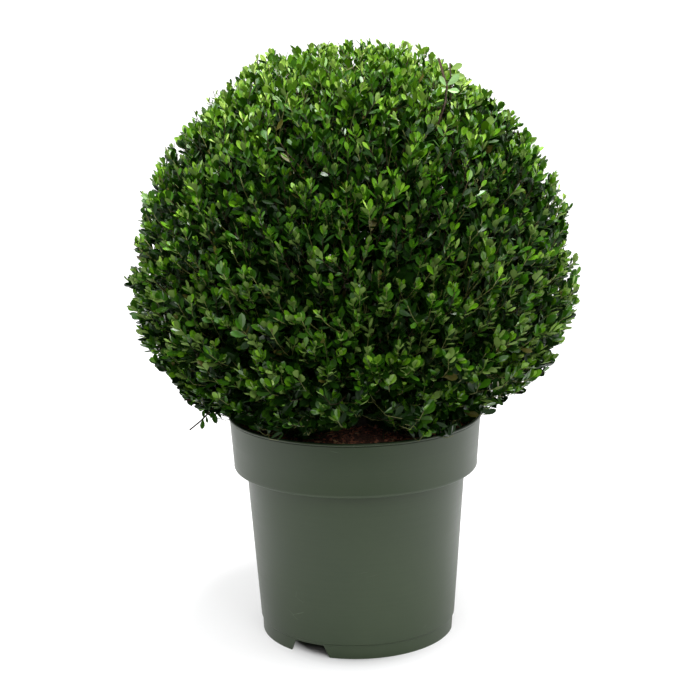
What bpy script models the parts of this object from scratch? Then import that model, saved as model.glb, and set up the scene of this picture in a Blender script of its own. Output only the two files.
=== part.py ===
"""A Japanese holly clipped to a ball, growing in a round plastic nursery pot.

Metres, +Z up.  The origin is the centre of the pot's foot on the floor and the side seen
first faces -Y.  Azimuths run from the front (-Y) towards +X, polar angles down from +Z.
"""

import math
import random
from dataclasses import dataclass

import bmesh
import bpy
from mathutils import Vector

FIT_GAP = 0.0003

# Pot: a 20 litre container, thin moulded wall with a wide collar round its mouth
POT_HEIGHT = 0.3014
RIM_RADIUS = 0.1700
LIP_HEIGHT = 0.0030
LIP_OVERHANG = 0.0010
COLLAR_FOOT_RADIUS = 0.1632
COLLAR_FOOT_HEIGHT = 0.2290
COLLAR_EDGE = 0.0020
NECK_RADIUS = 0.1472
FOOT_STEP_HEIGHT = 0.0200
FOOT_STEP_RADIUS = 0.1325
FOOT_RING_RADIUS = 0.1303
FOOT_STEP_DEPTH = 0.0016
POT_WALL = 0.0024
FLOOR_HEIGHT = 0.0130
POT_SEGMENTS = 44

# Drainage: three notches in the foot ring, each beside a round hole in the floor
NOTCH_COUNT = 3
FIRST_NOTCH = math.radians(-29)
NOTCH_FOOT_WIDTH = 0.056
NOTCH_TOP_WIDTH = 0.040
NOTCH_HEIGHT = 0.0115
DRAIN_RADIUS = 0.011
DRAIN_CIRCLE = 0.104

# Potting mix: filled to just under the rim, flat round the stem and lumpy elsewhere
MIX_EDGE_HEIGHT = 0.2815
MIX_CENTRE_HEIGHT = 0.2855
MIX_FLAT_RADIUS = 0.042
MIX_LUMP = 0.0016
MIX_RINGS = 3

# Main stem: short, flared at the soil, leaning a little, swollen where the boughs leave it
STEM_RADIUS = 0.0145
STEM_FLARE = 0.0105
STEM_FLARE_REACH = 0.013
STEM_BUTTRESSES = 5
BUTTRESS_RELIEF = 0.35
STEM_LEAN = Vector((0.006, 0.004, 0.0))
BURR_RADIUS = 0.0185
BURR_HEIGHT = 0.374
STEM_SIDES = 15
STEM_RINGS = 6
BURR_RINGS = 6

# Boughs: one to each mass of leaves
BOUGH_RADIUS = 0.0055
BOUGH_TIP_RADIUS = 0.0032
BOUGH_SIDES = 5
BOUGH_RINGS = 6
BOUGH_END = 0.50
BOUGH_ROOT_PULL = 0.42
BOUGH_TIP_PULL = 0.25
UPPER_BOUGH_ROOT = math.radians(44)
SKIRT_BOUGH_ROOT = math.radians(88)

# Crown: the ball the shears left, as half ellipses whose powers square it a little
CROWN_CENTRE = Vector((0.0, 0.0, 0.478))
CROWN_RADIUS = 0.2900
CROWN_RISE = 0.3125
CROWN_DROP = 0.192
CROWN_TOP_POWER = 2.05
CROWN_BOTTOM_POWER = 2.33
CROWN_LUMP = 0.0045

# Where the clipping swells or falls back: azimuth, polar angle and their spreads in
# degrees, then the height
CROWN_FEATURES = (
    (-90, 76, 16, 6, -0.006),   # dent in the left shoulder
    (-92, 90, 20, 8, 0.003),    # swelling under it
    (-86, 127, 24, 8, 0.018),   # tuft hanging past the rim on the left
    (88, 121, 34, 9, 0.009),    # fuller skirt on the right
    (-32, 138, 15, 8, 0.009),   # skirt lobe over the mix, front left
    (33, 134, 15, 8, 0.015),    # skirt lobe over the rim, front right
    (10, 124, 5, 15, -0.040),   # dark cleft between the two lobes
    (-4, 139, 15, 9, -0.012),   # skirt lifted in the middle, where the mix shows
    (152, 130, 22, 9, 0.010),   # lobe at the back
)

# Foliage masses: a cap, a ring of upper masses and a ring of skirt masses
CAP_EDGE = 36
UPPER_EDGE = 86
SKIRT_EDGE = 148
UPPER_COUNT = 5
UPPER_TURN = -24
SKIRT_COUNT = 6
SKIRT_TURN = -20
SEAM = math.radians(0.5)
SPACE_MARGIN = 0.0015

# Core of a mass: the dark packed twigs that the leaves stand out of
CORE_DEPTH = 0.020
CORE_INNER = 0.66
CORE_CELL = math.radians(12.5)
CAP_COLUMNS = 15
CORE_LUMP = 0.004

# Twigs and leaves: a ring of leaves nearly three times life size round each twig's tip
STEM_END = 0.60
ARM_END = 0.76
ARMS = 3
ARM_LEAN = math.radians(24)
STEM_TWIG_RADIUS = 0.0030
TWIG_CELL = 0.095
TWIG_STRAY = 0.10
TWIG_ROOT = 0.008
TWIG_TIP_DEPTH = 0.0095
TWIG_RADIUS = 0.0030
TWIG_TIP_RADIUS = 0.0026
LEAVES_PER_TWIG = 5
LEAF_LENGTH = 0.048
LEAF_WIDTH = 0.0265
LEAF_THICKNESS = 0.0024
LEAF_WIDEST = 0.60
LEAF_CREST = 0.28
LEAF_SUNK = 0.0008
LEAF_RING_DEPTH = 0.0115
LEAF_TIP_DEPTH = 0.005
LEAF_SHORTER = (1.0, 0.85, 0.70, 0.55)
LEAF_TEST_STEPS = 8
SEED = 20


@dataclass
class Space:
    """The part of the ball that one mass keeps to."""

    name: str
    azimuth: float
    half_width: float
    top: float
    bottom: float

    @property
    def whole_turn(self):
        return self.half_width >= math.pi

    @property
    def middle(self):
        """Unit direction from the crown's centre to the middle of the space."""
        if self.whole_turn:
            return Vector((0.0, 0.0, 1.0))
        return direction_to(self.azimuth, (self.top + self.bottom) / 2)


def remove_everything():
    for old in list(bpy.data.objects):
        bpy.data.objects.remove(old, do_unlink=True)


def make_material(name, colour, roughness):
    made = bpy.data.materials.new(name)
    made.use_nodes = True
    shader = made.node_tree.nodes["Principled BSDF"]
    shader.inputs["Base Color"].default_value = (*colour, 1.0)
    shader.inputs["Roughness"].default_value = roughness
    shader.inputs["Metallic"].default_value = 0.0
    return made


def add_object(name, body, material, collection=None):
    """Turn a bmesh into a named object and free the bmesh."""
    bmesh.ops.recalc_face_normals(body, faces=body.faces)
    mesh = bpy.data.meshes.new(name)
    body.to_mesh(mesh)
    body.free()
    mesh.materials.append(material)
    made = bpy.data.objects.new(name, mesh)
    (collection or bpy.context.scene.collection).objects.link(made)
    return made


def shade_round(made, sharp_angle):
    made.data.shade_smooth()
    made.data.set_sharp_from_angle(angle=sharp_angle)


def direction_to(azimuth, polar):
    level = math.sin(polar)
    return Vector((level * math.sin(azimuth), -level * math.cos(azimuth), math.cos(polar)))


def angles_of(direction):
    return math.atan2(direction.x, -direction.y), math.acos(max(-1.0, min(1.0, direction.z)))


def turn_between(angle, other):
    """Signed angle from other to angle, between -pi and pi."""
    return (angle - other + math.pi) % math.tau - math.pi


def turned(profile, segments):
    """Spin a profile of (radius, height) points round Z into a closed body."""
    body = bmesh.new()
    verts = [body.verts.new((radius, 0.0, height)) for radius, height in profile]
    edges = [body.edges.new(pair) for pair in zip(verts, verts[1:])]
    if min(profile[0][0], profile[-1][0]) > 0:
        edges.append(body.edges.new((verts[-1], verts[0])))
    bmesh.ops.spin(
        body, geom=verts + edges, cent=(0, 0, 0), axis=(0, 0, 1),
        angle=math.tau, steps=segments, use_merge=True,
    )
    bmesh.ops.remove_doubles(body, verts=body.verts, dist=1e-6)
    return body


def limb(points, tangents, radii, sides):
    """A tapering limb through the points, with flat ends square to the first and last tangent."""
    body = bmesh.new()
    across = tangents[0].orthogonal().normalized()
    rings = []
    for point, tangent, radius in zip(points, tangents, radii):
        across = (across - tangent * across.dot(tangent)).normalized()
        other = tangent.cross(across)
        ring = []
        for side in range(sides):
            angle = math.tau * side / sides
            ring.append(body.verts.new(point + radius * (math.cos(angle) * across + math.sin(angle) * other)))
        rings.append(ring)
    for lower, upper in zip(rings, rings[1:]):
        for side in range(sides):
            after = (side + 1) % sides
            body.faces.new((lower[side], lower[after], upper[after], upper[side]))
    body.faces.new(reversed(rings[0]))
    body.faces.new(rings[-1])
    bmesh.ops.triangulate(body, faces=[face for face in body.faces if len(face.verts) == 4])
    return body


def straight_limb(start, end, radius, end_radius, sides=3):
    along = (end - start).normalized()
    return limb((start, end), (along, along), (radius, end_radius), sides)


# ---------------------------------------------------------------- pot and potting mix

def collar_radius(height):
    """Outer radius of the collar, which widens evenly from its foot to the rim."""
    share = (height - COLLAR_FOOT_HEIGHT) / (POT_HEIGHT - COLLAR_FOOT_HEIGHT)
    return COLLAR_FOOT_RADIUS + share * (RIM_RADIUS - LIP_OVERHANG - COLLAR_FOOT_RADIUS)


def body_radius(height):
    """Outer radius of the wall between the foot step and the collar."""
    share = (height - FOOT_STEP_HEIGHT) / (COLLAR_FOOT_HEIGHT - FOOT_STEP_HEIGHT)
    return FOOT_STEP_RADIUS + share * (NECK_RADIUS - FOOT_STEP_RADIUS)


def pot_profile():
    """The wall's section, up the outside from the foot and back down the inside."""
    ledge = COLLAR_FOOT_HEIGHT + POT_WALL
    lip_foot = POT_HEIGHT - LIP_HEIGHT
    floor_top = FLOOR_HEIGHT + POT_WALL
    ring_top = FOOT_STEP_RADIUS - FOOT_STEP_DEPTH
    return [
        (0.0, FLOOR_HEIGHT),
        (ring_top - POT_WALL, FLOOR_HEIGHT),
        (FOOT_RING_RADIUS - POT_WALL, 0.0),
        (FOOT_RING_RADIUS, 0.0),
        (ring_top, FOOT_STEP_HEIGHT - FOOT_STEP_DEPTH),
        (FOOT_STEP_RADIUS, FOOT_STEP_HEIGHT),
        (NECK_RADIUS, COLLAR_FOOT_HEIGHT),
        (COLLAR_FOOT_RADIUS - COLLAR_EDGE, COLLAR_FOOT_HEIGHT),
        (COLLAR_FOOT_RADIUS, COLLAR_FOOT_HEIGHT + COLLAR_EDGE),
        (collar_radius(lip_foot), lip_foot),
        (RIM_RADIUS, lip_foot + LIP_OVERHANG),
        (RIM_RADIUS, POT_HEIGHT - LIP_OVERHANG / 2),
        (RIM_RADIUS - LIP_OVERHANG / 2, POT_HEIGHT),
        (collar_radius(POT_HEIGHT) - POT_WALL, POT_HEIGHT),
        (collar_radius(ledge) - POT_WALL, ledge),
        (body_radius(ledge) - POT_WALL, ledge),
        (body_radius(floor_top) - POT_WALL, floor_top),
        (0.0, floor_top),
    ]


def notch_cutter(azimuth):
    """A trapezoid with its upper corners cut off, run through the foot ring."""
    half_foot = NOTCH_FOOT_WIDTH / 2
    half_top = NOTCH_TOP_WIDTH / 2
    corner = 0.4 * NOTCH_HEIGHT
    outline = [(-half_foot, -corner), (half_foot, -corner)]
    outline.append((half_top + corner / 2, NOTCH_HEIGHT - corner))
    outline.append((half_top - corner / 2, NOTCH_HEIGHT))
    outline += [(-across, height) for across, height in reversed(outline[2:])]
    out = direction_to(azimuth, math.pi / 2)
    across = Vector((0, 0, 1)).cross(out)
    body = bmesh.new()
    start = out * (FOOT_RING_RADIUS - 6 * POT_WALL)
    verts = [body.verts.new(start + across * x + Vector((0, 0, z))) for x, z in outline]
    face = body.faces.new(verts)
    extruded = bmesh.ops.extrude_face_region(body, geom=[face])
    moved = [item for item in extruded["geom"] if isinstance(item, bmesh.types.BMVert)]
    bmesh.ops.translate(body, verts=moved, vec=out * 10 * POT_WALL)
    return body


def drain_cutter(azimuth):
    body = turned([(0.0, FLOOR_HEIGHT - POT_WALL), (DRAIN_RADIUS, FLOOR_HEIGHT - POT_WALL),
                   (DRAIN_RADIUS, FLOOR_HEIGHT + 2 * POT_WALL), (0.0, FLOOR_HEIGHT + 2 * POT_WALL)], 12)
    bmesh.ops.translate(body, verts=body.verts, vec=direction_to(azimuth, math.pi / 2) * DRAIN_CIRCLE)
    return body


def make_pot(plastic):
    pot = add_object("pot", turned(pot_profile(), POT_SEGMENTS), plastic)
    shade_round(pot, math.radians(30))
    cutters = bpy.data.collections.new("pot_cutters")
    bpy.context.scene.collection.children.link(cutters)
    for index in range(NOTCH_COUNT):
        azimuth = FIRST_NOTCH + math.tau * index / NOTCH_COUNT
        for kind, body in (("notch", notch_cutter(azimuth)), ("drain", drain_cutter(azimuth))):
            cutter = add_object(f"{kind}_cutter_{index + 1}", body, plastic, cutters)
            cutter.hide_render = True
            cutter.display_type = "WIRE"
    cut = pot.modifiers.new("drainage", "BOOLEAN")
    cut.operation = "DIFFERENCE"
    cut.operand_type = "COLLECTION"
    cut.collection = cutters


def mix_lump(x, y):
    """Gentle unevenness of the mix, between -1 and 1."""
    return math.sin(61 * x + 1.1) * math.sin(53 * y + 0.4) * 0.6 + math.sin(97 * x - 71 * y) * 0.4


def make_potting_mix(earth):
    """Fills the pot up to its mound, a fit gap clear of the wall, the ledge and the floor."""
    bottom = FLOOR_HEIGHT + POT_WALL + FIT_GAP
    ledge = COLLAR_FOOT_HEIGHT + POT_WALL + FIT_GAP
    inset = POT_WALL + 2 * FIT_GAP
    edge_radius = collar_radius(MIX_EDGE_HEIGHT) - inset
    profile = [
        (0.0, bottom),
        (body_radius(bottom) - inset, bottom),
        (body_radius(ledge) - inset - FIT_GAP, ledge),
        (collar_radius(ledge) - inset, ledge),
        (edge_radius, MIX_EDGE_HEIGHT),
    ]
    for ring in range(1, MIX_RINGS + 1):
        share = ring / MIX_RINGS
        radius = edge_radius + share * (MIX_FLAT_RADIUS - edge_radius)
        height = MIX_EDGE_HEIGHT + math.sin(share * math.pi / 2) * (MIX_CENTRE_HEIGHT - MIX_EDGE_HEIGHT)
        profile.append((radius, height))
    profile.append((0.0, MIX_CENTRE_HEIGHT))
    body = turned(profile, POT_SEGMENTS)
    for vert in body.verts:
        radius = math.hypot(vert.co.x, vert.co.y)
        if vert.co.z > ledge + FIT_GAP and radius > MIX_FLAT_RADIUS + FIT_GAP:
            vert.co.z += MIX_LUMP * mix_lump(vert.co.x, vert.co.y)
    mix = add_object("potting_mix", body, earth)
    shade_round(mix, math.radians(40))


# ---------------------------------------------------------------- stem and boughs

def burr_centre():
    return Vector((STEM_LEAN.x, STEM_LEAN.y, BURR_HEIGHT))


def make_main_stem(bark):
    """Rings from the flat cut on the mix up through the flare and the neck, closed by the burr."""
    foot = MIX_CENTRE_HEIGHT + FIT_GAP
    neck_top = BURR_HEIGHT - math.sqrt(BURR_RADIUS ** 2 - STEM_RADIUS ** 2)
    sections = []
    for step in range(STEM_RINGS + 1):
        height = foot + (neck_top - foot) * (step / STEM_RINGS) ** 1.4
        sections.append((height, STEM_RADIUS, math.exp(-(height - foot) / STEM_FLARE_REACH)))
    lowest = math.asin(-(BURR_HEIGHT - neck_top) / BURR_RADIUS)
    for step in range(1, BURR_RINGS):
        lift = lowest + (math.pi / 2 - lowest) * step / BURR_RINGS
        sections.append((BURR_HEIGHT + BURR_RADIUS * math.sin(lift), BURR_RADIUS * math.cos(lift), 0.0))
    body = bmesh.new()
    rings = []
    for height, radius, flare in sections:
        centre = STEM_LEAN * ((height - foot) / (BURR_HEIGHT - foot)) + Vector((0, 0, height))
        if height > neck_top:
            centre = Vector((STEM_LEAN.x, STEM_LEAN.y, height))
        ring = []
        for side in range(STEM_SIDES):
            angle = math.tau * side / STEM_SIDES
            ridge = 1 + BUTTRESS_RELIEF * math.cos(STEM_BUTTRESSES * angle)
            reach_out = radius + STEM_FLARE * flare * ridge
            ring.append(body.verts.new(centre + reach_out * direction_to(angle, math.pi / 2)))
        rings.append(ring)
    for lower, upper in zip(rings, rings[1:]):
        for side in range(STEM_SIDES):
            after = (side + 1) % STEM_SIDES
            body.faces.new((lower[side], lower[after], upper[after], upper[side]))
    body.faces.new(reversed(rings[0]))
    top = body.verts.new(burr_centre() + Vector((0, 0, BURR_RADIUS)))
    for side in range(STEM_SIDES):
        body.faces.new((rings[-1][side], rings[-1][(side + 1) % STEM_SIDES], top))
    stem = add_object("main_stem", body, bark)
    shade_round(stem, math.radians(50))


def bough_root_direction(space):
    """Where on the burr a mass's bough leaves it: level for the skirt, steeper further up."""
    if space.whole_turn:
        return Vector((0.0, 0.0, 1.0))
    if space.top > math.radians(CAP_EDGE) + SEAM:
        return direction_to(space.azimuth, SKIRT_BOUGH_ROOT)
    return direction_to(space.azimuth, UPPER_BOUGH_ROOT)


def bough_end(space):
    """Tip of the bough, in the hollow of the ball under its mass."""
    return CROWN_CENTRE + space.middle * reach(space.middle) * BOUGH_END


def make_bough(space, bark):
    """One tapering limb, a cubic curve from the burr out to the mass."""
    root_way = bough_root_direction(space)
    start = burr_centre() + root_way * (BURR_RADIUS + FIT_GAP)
    end = bough_end(space)
    length = (end - start).length
    handle = start + root_way * length * BOUGH_ROOT_PULL
    end_handle = end - space.middle * length * BOUGH_TIP_PULL
    points = []
    tangents = []
    radii = []
    for step in range(BOUGH_RINGS):
        t = step / (BOUGH_RINGS - 1)
        back = 1 - t
        near = back ** 3 * start + 3 * back ** 2 * t * handle
        far = 3 * back * t ** 2 * end_handle + t ** 3 * end
        points.append(near + far)
        near_slope = back ** 2 * (handle - start) + 2 * back * t * (end_handle - handle)
        tangents.append((near_slope + t ** 2 * (end - end_handle)).normalized())
        radii.append(BOUGH_RADIUS + t * (BOUGH_TIP_RADIUS - BOUGH_RADIUS))
    name = space.name.replace("foliage", "bough")
    bough = add_object(name, limb(points, tangents, radii, BOUGH_SIDES), bark)
    shade_round(bough, math.radians(65))


# ---------------------------------------------------------------- crown outline

def crown_lump(direction):
    """Slow unevenness of the clipping, between about -1 and 1."""
    return (
        math.sin(9.0 * direction.x + 5.0 * direction.z + 1.3)
        + math.sin(8.0 * direction.y - 6.0 * direction.z + 0.4)
        + math.sin(11.0 * direction.z + 7.0 * direction.x - 4.0 * direction.y + 2.1)
    ) / 3


def reach(direction):
    """Distance from the crown's centre to the clipped surface along a unit direction."""
    power, height = CROWN_BOTTOM_POWER, CROWN_DROP
    if direction.z >= 0:
        power, height = CROWN_TOP_POWER, CROWN_RISE
    level = math.hypot(direction.x, direction.y)
    distance = ((level / CROWN_RADIUS) ** power + (abs(direction.z) / height) ** power) ** (-1 / power)
    azimuth, polar = angles_of(direction)
    for at_azimuth, at_polar, wide, tall, swell in CROWN_FEATURES:
        sideways = math.degrees(turn_between(azimuth, math.radians(at_azimuth))) / wide
        down = (math.degrees(polar) - at_polar) / tall
        distance += swell * math.exp(-sideways ** 2 - down ** 2)
    return distance + CROWN_LUMP * crown_lump(direction)


def clear_of_pot(point):
    """True above the mix inside the mouth, over the rim, and outside the pot's wall."""
    radius = math.hypot(point.x, point.y)
    mouth = collar_radius(POT_HEIGHT) - POT_WALL
    if point.z > POT_HEIGHT + SPACE_MARGIN:
        return radius > 4 * BURR_RADIUS or point.z > BURR_HEIGHT
    if radius < mouth - 3 * SPACE_MARGIN:
        return point.z > MIX_CENTRE_HEIGHT + 2 * MIX_LUMP and radius > 2 * MIX_FLAT_RADIUS
    return radius > RIM_RADIUS + SPACE_MARGIN


def holds(space, point):
    """True where the point is in the mass's space, under the clipping and clear of the pot."""
    arm = point - CROWN_CENTRE
    distance = arm.length
    azimuth, polar = angles_of(arm / distance)
    if distance > reach(arm / distance) + FIT_GAP:
        return False
    if not space.whole_turn:
        level = distance * math.sin(polar)
        aside = space.half_width - abs(turn_between(azimuth, space.azimuth))
        if level * math.sin(aside) < SPACE_MARGIN:
            return False
    if space.top > 0 and distance * math.sin(polar - space.top) < SPACE_MARGIN:
        return False
    if space.bottom < math.radians(SKIRT_EDGE) and distance * math.sin(space.bottom - polar) < SPACE_MARGIN:
        return False
    return clear_of_pot(point)


# ---------------------------------------------------------------- foliage masses

def core_body(space):
    """A closed patch of thick shell under the leaves, its outer face uneven."""
    whole = space.whole_turn
    half = math.pi if whole else space.half_width - SEAM
    columns = max(3, round(2 * half * math.sin((space.top + space.bottom) / 2) / CORE_CELL))
    columns = max(columns, CAP_COLUMNS) if whole else columns
    top = space.top + SEAM if space.top > 0 else 0.0
    bottom = space.bottom - SEAM
    rows = max(2, round((bottom - top) / CORE_CELL))
    body = bmesh.new()

    def sheet(depth_of):
        grid = []
        for row in range(rows + 1):
            polar = top + (bottom - top) * row / rows
            line = []
            for column in range(columns if whole else columns + 1):
                azimuth = space.azimuth - half + 2 * half * column / columns
                way = direction_to(azimuth, polar)
                if polar == 0 and line:
                    line.append(line[0])
                else:
                    line.append(body.verts.new(CROWN_CENTRE + way * depth_of(way)))
            if whole:
                line.append(line[0])
            grid.append(line)
        return grid

    def outer_depth(way):
        lump = math.sin(37 * way.x + 3) * math.sin(41 * way.y + 5) * math.sin(33 * way.z + 2)
        return reach(way) - CORE_DEPTH + CORE_LUMP * lump

    outer = sheet(outer_depth)
    inner = sheet(lambda way: reach(way) * CORE_INNER)

    def quad(a, b, c, d):
        corners = [a]
        for corner in (b, c, d):
            if corner not in corners:
                corners.append(corner)
        body.faces.new(corners)

    for grid in (outer, inner):
        for upper, lower in zip(grid, grid[1:]):
            for column in range(columns):
                quad(upper[column], upper[column + 1], lower[column + 1], lower[column])
    edge_rows = [rows] if top == 0 else [0, rows]
    for row in edge_rows:
        for column in range(columns):
            quad(outer[row][column], outer[row][column + 1], inner[row][column + 1], inner[row][column])
    if not whole:
        for column in (0, columns):
            for row in range(rows):
                quad(outer[row][column], outer[row + 1][column], inner[row + 1][column], inner[row][column])
    bmesh.ops.triangulate(body, faces=body.faces)
    return body


def leaf_body(base, along, face_way, length):
    """A leaf of six faces: a kite, flat below, its upper side highest near the root."""
    across = along.cross(face_way).normalized()
    face_way = across.cross(along)
    widest = base + along * length * LEAF_WIDEST
    half_width = LEAF_WIDTH / LEAF_LENGTH * length / 2
    body = bmesh.new()
    outline = [
        body.verts.new(base),
        body.verts.new(widest + across * half_width),
        body.verts.new(base + along * length),
        body.verts.new(widest - across * half_width),
    ]
    crest = body.verts.new(base + along * length * LEAF_CREST + face_way * LEAF_THICKNESS)
    for corner in range(4):
        body.faces.new((outline[corner], outline[(corner + 1) % 4], crest))
    body.faces.new((outline[0], outline[1], outline[3]))
    body.faces.new((outline[1], outline[2], outline[3]))
    return body


def leaf_fits(space, base, along, face_way, length):
    """Tests points along the midrib and both margins of the leaf."""
    across = along.cross(face_way).normalized() * LEAF_WIDTH / LEAF_LENGTH * length / 2
    for step in range(1, LEAF_TEST_STEPS + 1):
        share = step / LEAF_TEST_STEPS
        wide = min(share / LEAF_WIDEST, (1 - share) / (1 - LEAF_WIDEST))
        for side in (-1, 0, 1):
            if not holds(space, base + along * length * share + across * side * wide):
                return False
    return True


def surface_point(way, depth):
    """The point this far under the clipped surface along a unit direction from the centre."""
    return CROWN_CENTRE + way * (reach(way) - depth)


def grow_leaf(space, chance, hub, out, turn):
    """Base, directions and length of a leaf whose tip comes up to the clipped surface, or None."""
    side = out.orthogonal().normalized()
    level = math.cos(turn) * side + math.sin(turn) * out.cross(side)
    full = LEAF_LENGTH * chance.uniform(0.80, 1.0)
    depth = LEAF_TIP_DEPTH * chance.random()
    for shorter in LEAF_SHORTER:
        aim = (hub + level * full * shorter - CROWN_CENTRE).normalized()
        along = (surface_point(aim, depth) - hub).normalized()
        face_way = (out - along * out.dot(along)).normalized()
        base = hub - along * LEAF_SUNK
        if leaf_fits(space, base, along, face_way, full * shorter):
            return base, along, face_way, full * shorter
    return None


def twig_directions(space, chance):
    """Directions of the twigs: rows of even cells that fill the space, each a little astray."""
    extent = (space.bottom - space.top) * CROWN_RADIUS
    rows = round(extent / TWIG_CELL)
    found = []
    for row in range(rows):
        polar = space.top + (space.bottom - space.top) * (row + 0.5) / rows
        circle = reach(direction_to(space.azimuth, polar)) * math.sin(polar)
        columns = max(2, round(2 * space.half_width * circle / TWIG_CELL))
        for column in range(columns):
            across = (column + 0.5 + chance.uniform(-TWIG_STRAY, TWIG_STRAY)) / columns
            down = polar + chance.uniform(-TWIG_STRAY, TWIG_STRAY) * (space.bottom - space.top) / rows
            found.append(direction_to(space.azimuth + space.half_width * (2 * across - 1), down))
    return found


def mass_pieces(space, chance):
    """Closed bodies of the mass besides its core: stem, arms, twigs and leaves."""
    start = bough_end(space) + space.middle * FIT_GAP
    fork = CROWN_CENTRE + space.middle * reach(space.middle) * STEM_END
    overlap = space.middle * STEM_TWIG_RADIUS
    yield straight_limb(start, fork + overlap, STEM_TWIG_RADIUS, 0.8 * STEM_TWIG_RADIUS)
    side = space.middle.orthogonal().normalized()
    other = space.middle.cross(side)
    for arm in range(ARMS):
        angle = math.tau * (arm + chance.uniform(-0.15, 0.15)) / ARMS
        lean = math.tan(ARM_LEAN) * (math.cos(angle) * side + math.sin(angle) * other)
        way = (space.middle + lean).normalized()
        into = CROWN_CENTRE + way * reach(way) * ARM_END
        yield straight_limb(fork - overlap, into, 0.75 * STEM_TWIG_RADIUS, 0.5 * STEM_TWIG_RADIUS)

    for way in twig_directions(space, chance):
        hub = surface_point(way, LEAF_RING_DEPTH)
        first_turn = math.tau * chance.random()
        leaves = []
        for index in range(LEAVES_PER_TWIG):
            turn = first_turn + math.tau * (index + chance.uniform(-0.04, 0.04)) / LEAVES_PER_TWIG
            leaf = grow_leaf(space, chance, hub, way, turn)
            if leaf:
                leaves.append(leaf)
        if not leaves:
            continue
        root = surface_point(way, CORE_DEPTH + TWIG_ROOT)
        yield straight_limb(root, surface_point(way, TWIG_TIP_DEPTH), TWIG_RADIUS, TWIG_TIP_RADIUS)
        for base, along, face_way, length in leaves:
            yield leaf_body(base, along, face_way, length)


def keep_largest_shell(made):
    """Drops the loose scraps and fills the sealed hollows that the union leaves."""
    body = bmesh.new()
    body.from_mesh(made.data)
    waiting = set(body.verts)
    shells = []
    while waiting:
        edge_of_shell = [waiting.pop()]
        shell = set(edge_of_shell)
        while edge_of_shell:
            vert = edge_of_shell.pop()
            for edge in vert.link_edges:
                neighbour = edge.other_vert(vert)
                if neighbour in waiting:
                    waiting.remove(neighbour)
                    shell.add(neighbour)
                    edge_of_shell.append(neighbour)
        shells.append(shell)
    shells.sort(key=len)
    for shell in shells[:-1]:
        bmesh.ops.delete(body, geom=list(shell), context="VERTS")
    bmesh.ops.triangulate(body, faces=body.faces)
    body.to_mesh(made.data)
    body.free()


def make_foliage(space, leaf_green, seed):
    """One mass of leaves: the core and all that stands out of it, joined into one solid."""
    mass = add_object(space.name, core_body(space), leaf_green)
    pieces = bpy.data.collections.new(space.name + "_pieces")
    bpy.context.scene.collection.children.link(pieces)
    for index, body in enumerate(mass_pieces(space, random.Random(seed))):
        add_object(f"{space.name}_piece_{index}", body, leaf_green, pieces)
    join = mass.modifiers.new("join", "BOOLEAN")
    join.operation = "UNION"
    join.operand_type = "COLLECTION"
    join.collection = pieces
    join.solver = "MANIFOLD"
    with bpy.context.temp_override(object=mass, active_object=mass):
        bpy.ops.object.modifier_apply(modifier="join")
    for piece in list(pieces.objects):
        bpy.data.objects.remove(piece, do_unlink=True)
    bpy.data.collections.remove(pieces)
    keep_largest_shell(mass)


def foliage_spaces():
    """The cap, then the upper ring and the skirt, each numbered from its seam at the front."""
    cap, upper, skirt = (math.radians(angle) for angle in (CAP_EDGE, UPPER_EDGE, SKIRT_EDGE))
    spaces = [Space("foliage_cap", 0.0, math.pi, 0.0, cap)]
    for name, count, turn, top, bottom in (
        ("foliage_upper", UPPER_COUNT, UPPER_TURN, cap, upper),
        ("foliage_skirt", SKIRT_COUNT, SKIRT_TURN, upper, skirt),
    ):
        for index in range(count):
            azimuth = math.radians(turn) + math.tau * index / count
            spaces.append(Space(f"{name}_{index + 1}", azimuth, math.pi / count, top, bottom))
    return spaces


def build():
    remove_everything()
    plastic = make_material("pot_plastic", (0.070, 0.088, 0.060), 0.42)
    earth = make_material("potting_mix", (0.022, 0.012, 0.007), 0.95)
    bark = make_material("holly_bark", (0.150, 0.120, 0.090), 0.85)
    leaf_green = make_material("holly_leaf", (0.035, 0.075, 0.014), 0.40)
    make_pot(plastic)
    make_potting_mix(earth)
    make_main_stem(bark)
    for number, space in enumerate(foliage_spaces()):
        make_bough(space, bark)
        make_foliage(space, leaf_green, SEED + number)


build()
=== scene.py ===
import math

import bpy
import numpy as np
from mathutils import Matrix, Vector


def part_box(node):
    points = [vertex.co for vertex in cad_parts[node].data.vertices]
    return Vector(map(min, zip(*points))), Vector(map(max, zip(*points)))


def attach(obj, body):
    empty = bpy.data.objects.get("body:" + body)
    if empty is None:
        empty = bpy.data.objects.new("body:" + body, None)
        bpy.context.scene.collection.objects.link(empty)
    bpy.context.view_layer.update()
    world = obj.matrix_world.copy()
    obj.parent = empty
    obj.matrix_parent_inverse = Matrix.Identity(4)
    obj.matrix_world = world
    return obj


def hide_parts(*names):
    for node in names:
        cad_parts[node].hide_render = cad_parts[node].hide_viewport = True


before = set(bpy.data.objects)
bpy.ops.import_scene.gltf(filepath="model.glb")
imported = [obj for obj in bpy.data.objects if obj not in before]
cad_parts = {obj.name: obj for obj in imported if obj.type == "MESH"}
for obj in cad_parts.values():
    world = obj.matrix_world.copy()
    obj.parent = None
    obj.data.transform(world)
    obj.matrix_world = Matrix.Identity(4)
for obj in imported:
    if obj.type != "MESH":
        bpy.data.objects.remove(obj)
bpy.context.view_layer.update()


# ------------------------ nursery pot
# A 20 litre container, injection-moulded in one piece from dark green recycled plastic.
# A wide collar stiffens the mouth, the wall steps in under it, and the foot ring has three
# notches that let water out from under the floor.
pot_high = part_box("pot")[1]
POT_HEIGHT = pot_high.z
RIM_RADIUS = pot_high.x
POT_SIDES = 144
POT_WALL = 0.0024
LIP_HEIGHT = 0.0034
LIP_OVERHANG = 0.0017
LIP_STEPS = 6
GROOVE_HEIGHT = 0.0009
GROOVE_DEPTH = 0.0008
GROOVE_EDGE = 0.0003
COLLAR_FOOT_RADIUS = 0.1632
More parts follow.
